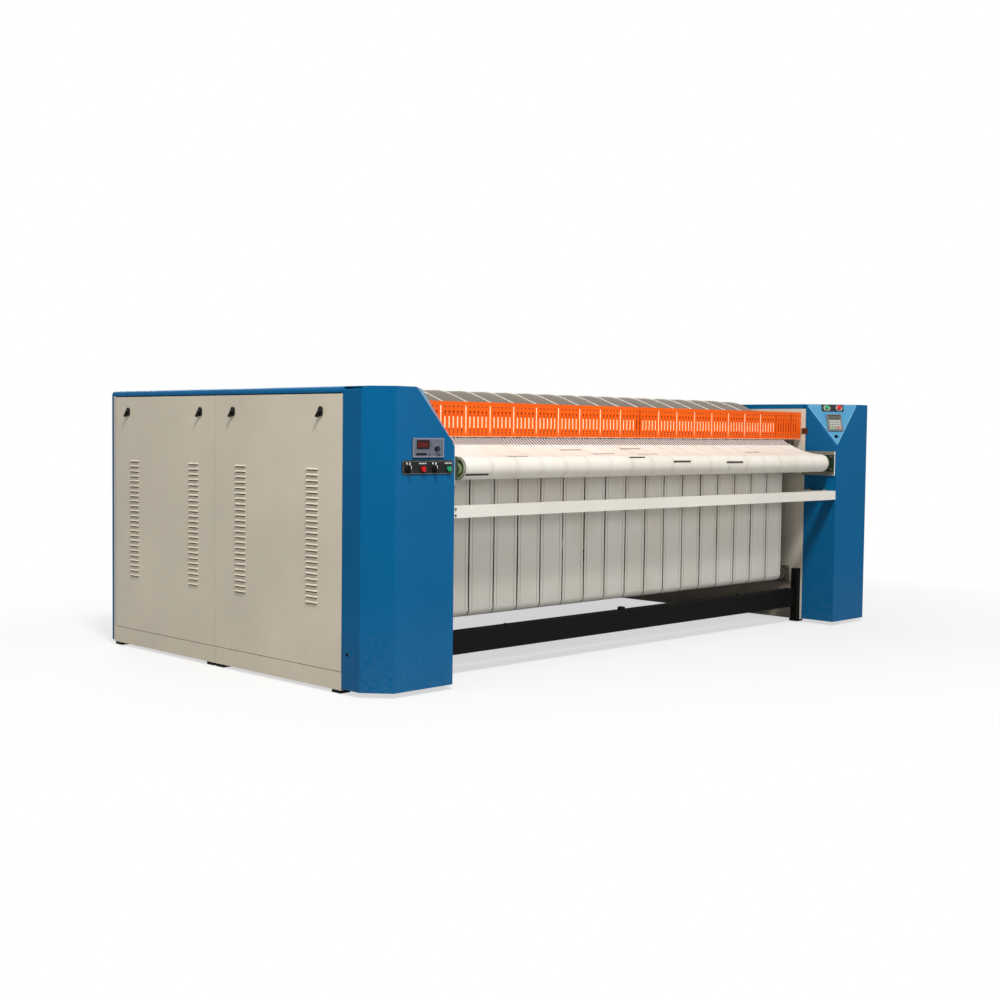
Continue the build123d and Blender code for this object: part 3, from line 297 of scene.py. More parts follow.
def led_window():
    """Smoked red window over the digits."""
    glass = Finish("smoked red window", srgb(74, 12, 16), 0.3, 0.0, Specular_IOR_Level=0.2)
    glass.set("Base Color", glass.mix(glass.noise(40.0), srgb(46, 6, 10), srgb(72, 14, 18)))
    return glass


def led_digits():
    lit = Finish("red digits", srgb(112, 22, 22), 0.4)
    lit.set("Emission Color", (*srgb(220, 40, 30), 1.0))
    lit.set("Emission Strength", 0.10)
    return lit


def slot_middle(x):
    """Distance from the middle of the nearest slot of the guard."""
    return (x.wrap(SLOT_PITCH) - SLOT_PITCH / 2).size()


GUARD_ROWS = ((1.2750, 0.0028), (1.2365, 0.0028), (1.1655, 0.0034), (1.1545, 0.0032), (1.1440, 0.0020))


def guard_columns(coat, x, z):
    """Masks of the guard's pattern: within a column, in a tall column, in a row of small holes."""
    column = slot_middle(x)
    tall = (x / SLOT_PITCH).floor().wrap(TALL_EVERY) < 0.5
    rows = None
    for centre, half in GUARD_ROWS:
        row = (z - centre).size() < half
        rows = row if rows is None else rows + row
    return column, tall, rows


def guard_coat():
    """Orange powder coat with the guard's small punched holes above and below each slot, painted dark red as the
    shade seen through them.
    """
    colour = srgb(255, 100, 0)
    coat = Finish("guard orange powder coat", colour, 0.42, 0.0, Specular_IOR_Level=0.25)
    x, y, z = coat.axes()
    cloud = coat.noise(3.0, 3.0)
    tint = coat.mix(coat.ramp(cloud, 0.35, 0.7), shade(colour, 0.93), shade(colour, 1.04))
    column, tall, rows = guard_columns(coat, x, z)
    holes = (column < 0.0042) * rows * (1.0 - tall)
    # the punched holes are painted dark red: painted shade seen through them
    coat.set("Base Color", coat.mix(holes, tint, srgb(92, 44, 44)))
    coat.set("Roughness", coat.ramp(cloud, 0.3, 0.7, 0.36, 0.46) + holes * 0.4)
    coat.bump(coat.noise(700.0, 1.0) * 0.4 - holes * 4.0, 0.2, 0.0006)
    return coat


def guard_backing_light_and_shade():
    """What shows through the slots, as painted light and shade: sunlit cream low down is painted light, the orange
    back rail above it is painted shade in dark red, its holes painted darker still; right of 1.30 m and at the middle
    joint every slot is painted shade.
    """
    orange, dark = srgb(255, 100, 0), srgb(128, 14, 4)
    back = Finish("guard back strip", orange, 0.7, 0.0, Specular_IOR_Level=0.2)
    x, y, z = back.axes()
    column, tall, rows = guard_columns(back, x, z)
    sunlit_cream = back.mix(back.ramp(back.noise(30.0, 3.0), 0.3, 0.7), srgb(255, 246, 216), srgb(255, 226, 170))
    short = (z - 1.2520).size() < 0.0078
    low = (z < 1.2290) * (z > 1.1760)
    inside = column < 0.0046
    # dark red in the short slots: the orange back rail in painted shade
    tint = back.mix(inside * short, orange, dark)
    # the rail's small holes: painted shade
    tint = back.mix((column < 0.0036) * rows, tint, srgb(120, 60, 44))
    # cream low in the slots and along the tall ones: painted light of the sunlit belts behind
    tint = back.mix(inside * low, tint, sunlit_cream)
    tint = back.mix(tall * inside, tint, back.mix(back.ramp(z, 1.150, 1.180), srgb(240, 150, 110), sunlit_cream))
    # right end and middle joint: the slots painted all in shade
    far = (x > 1.30) + (x.size() < 0.019)
    tint = back.mix(far * inside * (low + short + tall), tint, dark)
    back.set("Base Color", tint)
    back.bump(back.noise(400.0, 2.0), 0.2, 0.0005)
    return back


HALF_BELT = 0.079
NIP_FROM, NIP_TO = 0.26, 0.352           # the belts' rise under the guard, as distance back, where the sunlight stripes and shadow are painted


def belt_felt(name, hem_in, hem_strength, sun_striped=False):
    """Needled conveyor felt: cream, with a woven face, edge stitching and faint scorch along its travel; on request
    it also carries painted sunlight stripes that glow, with painted shadow between them and a row of painted shadow
    teeth, on the belts' rise under the guard.
    """
    cream = srgb(240, 235, 226)
    felt = Finish(name, cream, 0.85, 0.0, Specular_IOR_Level=0.2, Sheen_Weight=0.1, Sheen_Roughness=0.5)
    spot = felt.add("ShaderNodeUVMap", {"uv_map": "belt"})
    parts = felt.add("ShaderNodeSeparateXYZ", inputs={0: spot}).socket.node.outputs
    across, along = Value(felt, parts[0]), Value(felt, parts[1])
    weave = ((across * 900.0).math("SINE", across * 900.0) * (along * 900.0).math("SINE", along * 900.0))
    fibre = felt.noise(260.0, 4.0)
    cloud = felt.noise(3.5, 4.0)
    from_edge = HALF_BELT - across.size()
    stitch = ((from_edge - hem_in).size() < 0.0012) * ((along.wrap(0.006) - 0.003).size() < 0.0022)
    hem = (from_edge - hem_in).size() < 0.0018
    tint = felt.mix(felt.ramp(cloud, 0.3, 0.75), cream, srgb(230, 223, 208))
    tint = felt.mix(hem * hem_strength, tint, srgb(120, 112, 94))
    tint = felt.mix(stitch * 0.5, tint, srgb(196, 190, 176))
    tint = felt.mix(felt.ramp(fibre, 0.35, 0.8, 0.0, 0.12), tint, srgb(198, 190, 172))
    # painted light and shade on the belts' rise under the guard: sunlit stripes made to glow, painted shadow between
    # them and painted shadow teeth along the top
    if sun_striped:
        x, y, z = felt.axes()
        sun_band = (y > at(NIP_FROM)) * (y < at(NIP_TO)) * (z > 1.090)
        line = (x - z * 0.6).wrap(0.0214) < 0.0080
        tint = felt.mix(sun_band * line, tint, srgb(120, 114, 110))
        shadow_tooth = sun_band * (z > 1.1275) * (slot_middle(x) < 0.0095)
        tint = felt.mix(shadow_tooth, tint, srgb(52, 34, 26))
        # the glow is painted sunlight on the stripes
        felt.set("Emission Strength", 0.42)
        felt.set("Emission Color", felt.mix(sun_band * (1.0 - line) * (1.0 - shadow_tooth), (0, 0, 0), (1, 1, 0.98)))
    felt.set("Base Color", tint)
    felt.set("Roughness", felt.ramp(fibre, 0.3, 0.7, 0.8, 0.92))
    felt.bump(fibre * 0.8 + weave * 0.25 - hem * 1.5, 0.35, 0.0008)
    return felt


def cord_braid():
    """White braided cord."""
    cord = Finish("white braided cord", srgb(236, 233, 226), 0.8, 0.0, Sheen_Weight=0.3)
    twist = cord.add("ShaderNodeTexWave", {"wave_type": "BANDS", "bands_direction": "DIAGONAL"},
                     {"Vector": cord.place(), "Scale": 260.0, "Distortion": 1.0})
    cord.set("Base Color", cord.mix(twist, srgb(214, 210, 200), srgb(242, 240, 234)))
    cord.bump(twist, 0.4, 0.0006)
    return cord


guard_orange = guard_coat()
selector_black = selector_plastic()
# finish of the painted light and shade seen through the guard's slots
guard_light_and_shade_paint = guard_backing_light_and_shade()
# felt with the painted sunlight stripes and shadow under the guard, used for all three belt sets
felt_cream_sun_striped = belt_felt("conveyor felt", 0.0085, 0.12, sun_striped=True)
felt_hemmed = belt_felt("hemmed conveyor felt", 0.0180, 0.65)
cord_white = cord_braid()
window_red = led_window()
digit_red = led_digits()

NODE_FINISH = {
    blue_coat: ("front_column_left", "front_column_right", "top_covers", "rear_covers"),
    wall_coat: ("side_wall_left", "side_wall_right", "door_posts"),
    beige_coat: ("plinths", "front_door_left", "front_door_right", "rear_door_left", "rear_door_right"),
    foot_rubber: ("levelling_feet",),
    bearing_green: ("drum_bearings", "roller_bearings"),
    grey_coat: ("bearing_plates",),
    shaft_steel: ("cord_bars",),
    white_coat: ("cross_bar", "bar_brackets"),
    black_coat: ("base_beams", "beam_uprights"),
    zinc: ("fixing_bolts",),
    black_plastic: ("switch_plate",),
    selector_black: ("feed_selector", "heat_selector"),
    knob_dark: ("speed_knob",),
    grey_plastic: ("speed_display",),
    film_blue: ("facet_plates",),
    pad_grey: ("keypad",),
    oiled_chain: ("drive_chain", "motor_sprocket"),
    motor_grey: ("gear_motor",),
    union_grey: ("rotary_unions",),
    drum_steel: ("drum_1", "drum_2"),
    guard_orange: ("finger_guard",),
    button_red: ("stop_button", "facet_red_button"),
    button_green: ("start_button", "facet_green_button"),
    roller_steel: ("feed_roller", "nip_roller", "middle_roller", "belt_guide_roller", "rear_upper_roller",
                   "rear_lower_roller", "front_lower_roller"),
    latch_black: tuple(f"{door}_door_{end}_latch_{side}" for door in ("front", "rear")
                       for end in ("front", "rear") for side in ("left", "right")),
}
for finish, names in NODE_FINISH.items():
    finish.on(*[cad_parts[name] for name in names])


# ------------------------------------------------------------------ mesh kit
def finish_piece(name, mesh_data, finish, body, smooth=None):
    """Turn a bmesh into a piece of the object that rides on a body."""
    mesh = bpy.data.meshes.new(name)
    bmesh.ops.remove_doubles(mesh_data, verts=mesh_data.verts, dist=1e-6)
    bmesh.ops.recalc_face_normals(mesh_data, faces=mesh_data.faces)
    mesh_data.to_mesh(mesh)
    mesh_data.free()
    item = bpy.data.objects.new(name, mesh)
    bpy.context.scene.collection.objects.link(item)
    finish.on(item)
    if smooth is not None:
        mesh.shade_smooth()
        mesh.set_sharp_from_angle(angle=math.radians(smooth))
    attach(item, body)
    return item


def add_block(mesh_data, low, high, bevel=0.0, turn=None):
    """Block between two corners, its edges rounded, optionally placed by a matrix."""
    size = Vector(high) - Vector(low)
    place = Matrix.Translation((Vector(low) + Vector(high)) / 2) @ Matrix.Diagonal((*size, 1.0))
    made = bmesh.ops.create_cube(mesh_data, size=1.0, matrix=(turn or Matrix.Identity(4)) @ place)
    if bevel:
        edges = list({edge for vert in made["verts"] for edge in vert.link_edges})
        bmesh.ops.bevel(mesh_data, geom=edges, affect="EDGES", offset=bevel, segments=2, profile=0.5, material=-1)


def add_disc(mesh_data, centre, axis, radius, depth, sides=32, bevel=0.0, top=None):
    """Round solid from centre along axis, its far rim rounded."""
    turn = Vector((0, 0, 1)).rotation_difference(Vector(axis)).to_matrix().to_4x4()
    place = Matrix.Translation(Vector(centre)) @ turn @ Matrix.Translation((0, 0, depth / 2))
    made = bmesh.ops.create_cone(mesh_data, cap_ends=True, segments=sides, radius1=radius,
                                 radius2=radius if top is None else top, depth=depth, matrix=place)
    if bevel:
        far = Vector(centre) + Vector(axis).normalized() * depth
        rim = [edge for edge in {e for v in made["verts"] for e in v.link_edges}
               if all(abs((vert.co - far).dot(Vector(axis).normalized())) < 1e-5 for vert in edge.verts)]
        bmesh.ops.bevel(mesh_data, geom=rim, affect="EDGES", offset=bevel, segments=3, profile=0.5, material=-1)


def add_ring(mesh_data, centre, axis, inner, outer, depth, sides=48):
    """Flat ring with a square section, turned about its axis."""
    turn = Vector((0, 0, 1)).rotation_difference(Vector(axis)).to_matrix().to_4x4()
    place = Matrix.Translation(Vector(centre)) @ turn
    corners = [(inner, 0.0), (outer, 0.0), (outer, depth), (inner, depth)]
    verts = [mesh_data.verts.new(place @ Vector((r, 0, z))) for r, z in corners]
    edges = [mesh_data.edges.new((verts[i], verts[(i + 1) % 4])) for i in range(4)]
    bmesh.ops.spin(mesh_data, geom=verts + edges, cent=Vector(centre), axis=turn.to_3x3() @ Vector((0, 0, 1)),
                   dvec=Vector((0, 0, 0)), angle=math.tau, steps=sides, use_merge=True)


# ------------------------------------------------------------------ belts
def belt_path(pulleys):
    """For each pulley (back, z, radius, side): where the belt meets it, how far it turns, where the next run ends."""
    runs = []
    for first, second in zip(pulleys, pulleys[1:] + pulleys[:1]):
        dy, dz = second[0] - first[0], second[1] - first[1]
        k = second[3] * second[2] - first[3] * first[2]
        square = dy * dy + dz * dz
        run = math.sqrt(square - k * k)
        ux, uz = (run * dy + k * dz) / square, (run * dz - k * dy) / square
        runs.append(((first[0] + first[3] * first[2] * uz, first[1] - first[3] * first[2] * ux),
                     (second[0] + second[3] * second[2] * uz, second[1] - second[3] * second[2] * ux)))
    path = []
    for index, pulley in enumerate(pulleys):
        arrive, (leave, onward) = runs[index - 1][1], runs[index]
        a0 = math.atan2(arrive[1] - pulley[1], arrive[0] - pulley[0])
        a1 = math.atan2(leave[1] - pulley[1], leave[0] - pulley[0])
        turn = (a1 - a0) % math.tau if pulley[3] > 0 else -((a0 - a1) % math.tau)
        path.append((pulley, arrive, turn, leave, onward))
    return path


def sag_pulley(first, second, radius, straight):
    """Circle that a slack run follows between two rollers below it."""
    reach = [math.hypot(radius + roller[2], straight) for roller in (first, second)]
    dy, dz = second[0] - first[0], second[1] - first[1]
    span = math.hypot(dy, dz)
    along = (reach[0] ** 2 - reach[1] ** 2 + span**2) / (2 * span)
    up = math.sqrt(reach[0] ** 2 - along**2)
    return (first[0] + (along * dy - up * dz) / span, first[1] + (along * dz + up * dy) / span, radius, 1)


FELT = 0.003
SKIN = 0.0004 + FELT / 2
GUIDE = (0.300, 0.985, 0.030 + SKIN, 1)
FEED = (0.058, 0.991, 0.049 + SKIN, -1)
NIP = (0.350, 1.094, 0.036 + SKIN, -1)
SAG = sag_pulley(FEED, NIP, 0.56, 0.02)
DRUMS = [(0.775, 0.965, 0.4 + SKIN, 1), (1.750, 0.965, 0.4 + SKIN, 1)]
MIDDLE = (1.2625, 1.250, 0.050 + SKIN, -1)
UPPER = (2.116, 1.236, 0.043 + SKIN, -1)
LOWER_REAR = (2.116, 0.294, 0.043 + SKIN, -1)
LOWER_FRONT = (0.367, 0.294, 0.033 + SKIN, -1)
LOOP = belt_path([GUIDE, FEED, SAG, NIP, DRUMS[0], MIDDLE, DRUMS[1], UPPER, LOWER_REAR, LOWER_FRONT])


def grow(mesh_data, front, move, layer=None, travel=0.0):
    """Extrude the leading edges by one step and note how far along the belt they lie."""
    edges = [item for item in front if isinstance(item, bmesh.types.BMEdge)]
    fresh = bmesh.ops.extrude_edge_only(mesh_data, edges=edges)["geom"]
    for item in fresh:
        if isinstance(item, bmesh.types.BMVert):
            item.co = move(item.co)
            if layer is not None:
                item[layer] = travel
    return fresh


def belt_strip(mesh_data, layer, start, steps, x0, width, columns):
    """One belt: a line across, grown along its path by turns and straight runs. Returns its length."""
    line = [mesh_data.verts.new((x0 + width * k / columns, at(start[0]), start[1])) for k in range(columns + 1)]
    edges = [mesh_data.edges.new(pair) for pair in zip(line, line[1:])]
    for vert in line:
        vert[layer] = 0.0
    front, travel = line + edges, 0.0
    for kind, data in steps:
        if kind == "run":
            dy, dz, parts = data
            for _ in range(parts):
                travel += math.hypot(dy, dz) / parts
                shift = Vector((0, dy / parts, dz / parts))
                front = grow(mesh_data, front, lambda co: co + shift, layer, travel)
        else:
            centre, turn, radius, parts = data
            pivot = Vector((0, at(centre[0]), centre[1]))
            spin = Matrix.Rotation(turn / parts, 3, "X")
            for _ in range(parts):
                travel += abs(turn) * radius / parts
                front = grow(mesh_data, front, lambda co: pivot + spin @ (co - pivot), layer, travel)
    return travel


def belt_steps(first, last, lead_in=False, run_parts=4):
    """The turns and straight runs from one pulley to another."""
    steps = []
    start = LOOP[first][1]
    if lead_in:
        start = LOOP[first - 1][3]
        end = LOOP[first][1]
        steps.append(("run", (end[0] - start[0], end[1] - start[1], run_parts)))
    for index in range(first, last + 1):
        pulley, arrive, turn, leave, onward = LOOP[index]
        parts = max(3, int(abs(turn) / math.radians(7 if pulley[2] < 0.2 else 2.5)))
        steps.append(("turn", ((pulley[0], pulley[1]), turn, pulley[2], parts)))
        if index < last:
            steps.append(("run", (onward[0] - leave[0], onward[1] - leave[1], run_parts)))
    return start, steps


def belt_starts(gap):
    """Left edge of each belt, with this gap between neighbours."""
    return [-BELTS * PITCH / 2 + index * PITCH + gap / 2 for index in range(BELTS)]


def belt_at(x):
    """Number of the belt at this X, and the X of its middle."""
    index = min(BELTS - 1, int((x + BELTS * PITCH / 2) / PITCH))
    return index, -BELTS * PITCH / 2 + (index + 0.5) * PITCH


def map_belts(mesh_data, layer, drift):
    """Coordinates across and along each belt, in metres, for the felt's weave."""
    uv = mesh_data.loops.layers.uv.new("belt")
    for face in mesh_data.faces:
        index, middle = belt_at(face.calc_center_median().x)
        for loop in face.loops:
            loop[uv].uv = (loop.vert.co.x - middle, loop.vert[layer] + index * drift)


def felt_piece(name, mesh_data, felt):
    """Turn belt faces into a felt of even thickness, its cut edges crisp."""
    for edge in mesh_data.edges:
        edge.smooth = not (edge.is_boundary or edge.calc_face_angle(0.0) > math.radians(50))
    mesh = bpy.data.meshes.new(name)
    mesh_data.to_mesh(mesh)
    mesh_data.free()
    mesh.shade_smooth()
    item = bpy.data.objects.new(name, mesh)
    bpy.context.scene.collection.objects.link(item)
    thick = item.modifiers.new("felt thickness", "SOLIDIFY")
    thick.thickness, thick.offset = FELT, 0.0
    felt.on(item)
    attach(item, "frame")
    return item


def belts(name, first, last, gap, nodes, lead_in=False, run_parts=4, columns=8, ripple=0.0006):
    """A set of 18 belts side by side over part of their path."""
    start, steps = belt_steps(first, last, lead_in, run_parts)
    mesh_data = bmesh.new()
    layer = mesh_data.verts.layers.float.new("travel")
    rng = random.Random(first * 10 + 3)
    width = PITCH - gap
    for x0 in belt_starts(gap):
        length = belt_strip(mesh_data, layer, start, steps, x0, width, columns)
    lifts = [rng.uniform(-ripple, ripple) for _ in range(BELTS)]
    map_belts(mesh_data, layer, 0.37)
    mesh_data.normal_update()
    for vert in mesh_data.verts:
        index = belt_at(vert.co.x)[0]
        wave = math.sin(vert[layer] * 9.0 + index * 1.7) * ripple * 0.8
        vert.co += vert.normal * (lifts[index] + wave) * 0.5
    item = felt_piece(name, mesh_data, felt_cream_sun_striped)
    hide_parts(*nodes)


FEED_GAP, CURTAIN_GAP = 0.0028, 0.010
belts("feed_belt_set", 0, 3, FEED_GAP, ["feed_belts"], run_parts=5)
belts("drum_belt_set", 4, 7, FEED_GAP, ["drum_belts"], lead_in=True, columns=2)
belts("rear_belt_set", 8, 9, CURTAIN_GAP, ["return_belts"], lead_in=True,
      columns=6)


def curtain():
    """Front stretch of the belts, straight up from the lower roller to the guide roller."""
    start, end = LOOP[9][3], LOOP[0][1]
    steps = [("run", (end[0] - start[0], end[1] - start[1], 24))]
    mesh_data = bmesh.new()
    layer = mesh_data.verts.layers.float.new("travel")
    width = PITCH - CURTAIN_GAP
    for x0 in belt_starts(CURTAIN_GAP):
        length = belt_strip(mesh_data, layer, start, steps, x0, width, 10)
    map_belts(mesh_data, layer, 0.53)
    for vert in mesh_data.verts:
        index, middle = belt_at(vert.co.x)
        share = (vert.co.x - middle) / (width / 2)
        ends = math.sin(math.pi * min(1.0, max(0.0, vert[layer] / length)))
        vert.co.y += ends * (0.0012 * share * math.sin(index * 2.1) + 0.0010 * math.sin(vert[layer] * 6 + index))
        vert.co.y += 0.0010 * (1 - share * share) * ends
    item = felt_piece("curtain_belt_set", mesh_data, felt_hemmed)
    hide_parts("curtain_belts")


curtain()


# ------------------------------------------------------------------ guide cords over the drums
CORD_R = 0.0028
CORDS = belt_path([
    (0.372, 1.236, 0.010 + 0.0024, -1),
    (0.775, 0.965, 0.4 + 0.0024, -1),
    (1.750, 0.965, 0.4 + 0.0024, -1),
    (2.130, 1.310, 0.010 + 0.0024, -1),
])


def guide_cord_set():
    """Seventeen cords, each a small ring carried along its path."""
    mesh_data = bmesh.new()
    for number in range(-BELTS // 2 + 1, BELTS // 2):
        start = CORDS[0][1]
        made = bmesh.ops.create_circle(mesh_data, cap_ends=False, segments=6, radius=CORD_R,
                                       matrix=Matrix.Translation((PITCH * number, at(start[0]), start[1])))
        pulley = CORDS[0][0]
        lean = math.atan2(start[1] - pulley[1], start[0] - pulley[0])
        spot = Vector((PITCH * number, at(start[0]), start[1]))
        bmesh.ops.rotate(mesh_data, cent=spot, matrix=Matrix.Rotation(lean, 3, "X"), verts=made["verts"])
        front = made["verts"] + list({e for v in made["verts"] for e in v.link_edges})
        for index in range(4):
            pulley, arrive, turn, leave, onward = CORDS[index]
            parts = max(2, int(abs(turn) / math.radians(20 if pulley[2] < 0.1 else 4)))
            pivot = Vector((0, at(pulley[0]), pulley[1]))
            spin = Matrix.Rotation(turn / parts, 3, "X")
            for _ in range(parts):
                front = grow(mesh_data, front, lambda co: pivot + spin @ (co - pivot))
            if index < 3:
                shift = Vector((0, onward[0] - leave[0], onward[1] - leave[1]))
                front = grow(mesh_data, front, lambda co: co + shift)
    item = finish_piece("guide_cord_set", mesh_data, cord_white, "frame", 60)
    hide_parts("guide_cords")


guide_cord_set()


# ------------------------------------------------------------------ small pieces on doors and latches
DOORS = {"front": (0.241, 1.2205), "rear": (1.2235, 2.1495)}
LOUVRE_OFFSET, LOUVRE_ROWS, LOUVRE_PITCH = 0.277, 24, 0.026
LATCH_OFFSET = 0.338


def door_details():
    """Dark strips of painted shade under the pressed louvres, and the turned knob at each latch lever's end."""
    for door, (start, end) in DOORS.items():
        middle = (start + end) / 2
        for side, sign in (("left", -1), ("right", 1)):
            shade_strips = bmesh.new()
            for centre in (middle - LOUVRE_OFFSET, middle + LOUVRE_OFFSET):
                for row in range(LOUVRE_ROWS):
                    z = 0.981 - LOUVRE_PITCH * row
                    x0, x1 = sorted((sign * (OUTER - 0.0002), sign * (OUTER + 0.0004)))
                    # a strip of painted shade under each hood
                    add_block(shade_strips, (x0, at(centre) - 0.0405, z - 0.0062), (x1, at(centre) + 0.0405, z - 0.0001))
            finish_piece(f"{door}_door_{side}_slits", shade_strips, louvre_shade, f"{door}_door_{side}")
            for place, spot in (("front", middle - LATCH_OFFSET), ("rear", middle + LATCH_OFFSET)):
                knob = bmesh.new()
                root = (sign * (OUTER + 0.0065), at(spot) + 0.0165, 1.2195)
                add_disc(knob, root, (sign, 0, 0), 0.0064, 0.0112, 14, 0.0015)
                hub = (sign * (OUTER + 0.0065), at(spot), 1.240)
                add_disc(knob, hub, (sign, 0, 0), 0.0090, 0.0060, 16, 0.0012)
                name = f"{door}_door_{place}_latch_{side}"
                finish_piece(name + "_knob", knob, latch_black, name, 40)


# ------------------------------------------------------------------ rollers, bearings, bolts
ROLLERS = {
    "feed_roller": (0.058, 0.991, 0.049), "nip_roller": (0.350, 1.094, 0.036),
    "belt_guide_roller": (0.300, 0.985, 0.030), "middle_roller": (1.2625, 1.250, 0.050),
    "rear_upper_roller": (2.116, 1.236, 0.043), "rear_lower_roller": (2.116, 0.294, 0.043),
    "front_lower_roller": (0.367, 0.294, 0.033),
}


def roller_details():
    """Painted end rings and hubs of the rollers, four bolts and a grease nipple on each of their bearings."""
    bolts, nipples = bmesh.new(), bmesh.new()
    for name, (back, z, radius) in ROLLERS.items():
        seat = INNER - (0.010 if name == "feed_roller" else 0.0)
        hub, rim = bmesh.new(), bmesh.new()
        for sign in (-1, 1):
            axis = (sign, 0, 0)
            if name == "feed_roller":
                add_ring(rim, (sign * 1.5201, at(back), z), axis, 0.0435, 0.0489, 0.0012, 40)
                add_ring(hub, (sign * 1.4901, at(back), z), axis, 0.0152, 0.0260, 0.0260, 28)
                add_ring(hub, (sign * 1.4901, at(back), z), axis, 0.0262, 0.0430, 0.0030, 28)
            else:
                add_ring(rim, (sign * 1.5201, at(back), z), axis, radius * 0.74, radius * 0.97, 0.0015, 32)
                add_ring(hub, (sign * 1.5201, at(back), z), axis, 0.0152, radius * 0.70, 0.0040, 28)
            for dy in (-0.037, 0.037):
                for dz in (-0.037, 0.037):
                    spot = (sign * (seat - 0.0141), at(back) + dy, z + dz)
                    add_disc(bolts, spot, (-sign, 0, 0), 0.0085, 0.0075, 6)
                    add_disc(bolts, (spot[0] - sign * 0.0075, *spot[1:]), (-sign, 0, 0), 0.0040, 0.0030, 10)
            add_disc(nipples, (sign * (seat - 0.024), at(back), z + 0.0352), (0, 0, 1), 0.0035, 0.0080, 10, 0.001)
        feed = name == "feed_roller"
        finish_piece(name + "_rims", rim, hub_green if feed else seal_dark, name, 40)
        finish_piece(name + "_hubs", hub, hub_green, name, 40)
    finish_piece("bearing_bolts", bolts, zinc, "frame")
    finish_piece("grease_nipples", nipples, zinc, "frame", 40)


def end_details():
    """Painted highlight strips along the bearing plates' front edges, bolts and the small rod round the ends of the
    feed table and the beams.
    """
    strip, dark, brown, rod = bmesh.new(), bmesh.new(), bmesh.new(), bmesh.new()
    for sign in (-1, 1):
        x0, x1 = sorted((sign * (INNER - 0.0098), sign * (INNER - 0.0002)))
        # white strip on each grey bearing plate's front edge: a painted highlight
        add_block(strip, (x0, at(0.0082), 0.9155), (x1, at(0.0090), 1.0615))
        for z in (0.782, 0.811) if sign < 0 else ():
            add_disc(dark, (-1.5810, at(0.0), z), (0, -1, 0), 0.0048, 0.0040, 6)
        add_disc(dark, (sign * 0.979, at(0.270), 0.207), (0, 0, 1), 0.0100, 0.0090, 6)
        x0, x1 = sorted((sign * 1.5856, sign * 1.5887))
        add_block(brown, (x0, at(0.2040), 1.1680), (x1, at(0.2480), 1.2020))
        add_disc(brown, (sign * 1.5856, at(0.2260), 1.1850), (-sign, 0, 0), 0.0110, 0.0036, 6)
    add_block(dark, (-0.085, at(0.2750), 0.2072), (-0.055, at(0.3050), 0.2230), 0.002)
    add_disc(rod, (-1.5885, at(0.205), 0.895), (1, 0, 0), 0.0032, 0.1900, 12)
    add_disc(rod, (-1.3985, at(0.205), 0.8920), (0, 0, 1), 0.0032, 0.0300, 12, 0.001)
    finish_piece("plate_edge_highlights", strip, white_coat, "frame")
    finish_piece("dark_bolts", dark, seal_dark, "frame")
    finish_piece("pivot_bolts", brown, brown_bolt, "frame", 40)
    finish_piece("stay_rod", rod, seal_dark, "frame", 50)


# ------------------------------------------------------------------ belt splices
SPLICES = (  # left end, right end, back, thickness, finish
    (-1.508, -1.364, -0.038, 0.0022, 0), (-1.200, -1.067, 0.052, 0.0018, 1), (-0.668, -0.514, 0.205, 0.0018, 1),
    (-0.504, -0.340, 0.127, 0.0018, 1), (-0.336, -0.212, 0.029, 0.0018, 0), (-0.187, -0.021, 0.219, 0.0018, 1),
    (-0.164, -0.006, 0.110, 0.0016, 1), (0.004, 0.150, 0.010, 0.0022, 0), (0.474, 0.627, 0.0075, 0.0024, 0),
    (0.850, 0.990, 0.150, 0.0016, 1),
)


def splices():
    """Lacing strips where some belts are joined, lying square across them."""
    for number, (x0, x1, back, thick, tone) in enumerate(SPLICES):
        strip = bmesh.new()
        if back < 0.09:
            radius, lean = 0.0524, (back - 0.058) / 0.0524
            normal = (lean, math.sqrt(1 - lean * lean)) if lean > -1 else (-0.85, -0.53)
            spot = (0.058 + normal[0] * radius, 0.991 + normal[1] * radius)
        else:
            radius = SAG[2] - FELT / 2
            lean = (SAG[0] - back) / radius
            normal = (lean, math.sqrt(1 - lean * lean))
            spot = (back, SAG[1] - normal[1] * radius)
        lean = math.atan2(-normal[0], normal[1])
        turn = Matrix.Translation((0, at(spot[0]), spot[1])) @ Matrix.Rotation(lean, 4, "X")
        add_block(strip, (x0, -0.0050, 0.0002), (x1, 0.0050, thick), 0.0004, turn)
        finish_piece(f"belt_splice_{number}", strip, (splice_dark, splice_pale)[tone], "frame")


# ------------------------------------------------------------------ guard backing with painted light and shade
def guard_details():
    """Strip behind the guard's slots, painted with the light and shade seen through them, and the pale lip along its
    foot.
    """
    strip, lip = bmesh.new(), bmesh.new()
    for x0, x1 in ((-1.575, -0.002), (0.002, 1.575)):
        add_block(strip, (x0, at(0.2523), 1.1400), (x1, at(0.2531), 1.2930))
        add_block(lip, (x0, at(0.2492), 1.1332), (x1, at(0.2500), 1.1352))
    finish_piece("guard_backing_light_and_shade", strip, guard_light_and_shade_paint, "finger_guard")
    finish_piece("guard_lip", lip, lip_pale, "finger_guard")


# ------------------------------------------------------------------ controls on the left column
def panel(name, finish, blocks, body="frame", discs=()):
    """Several thin plates on the front face: (x0, x1, z0, z1, inner distance, outer distance) in millimetres."""
    mesh_data = bmesh.new()
    for x0, x1, z0, z1, near, far in blocks:
        add_block(mesh_data, (x0 / 1000, at(-far / 1000), z0 / 1000), (x1 / 1000, at(-near / 1000), z1 / 1000))
    for x, z, radius, near, far in discs:
        spot = (x / 1000, at(-near / 1000), z / 1000)
        add_disc(mesh_data, spot, (0, -1, 0), radius / 1000, (far - near) / 1000, 28, 0.0005)
    return finish_piece(name, mesh_data, finish, body, 40)


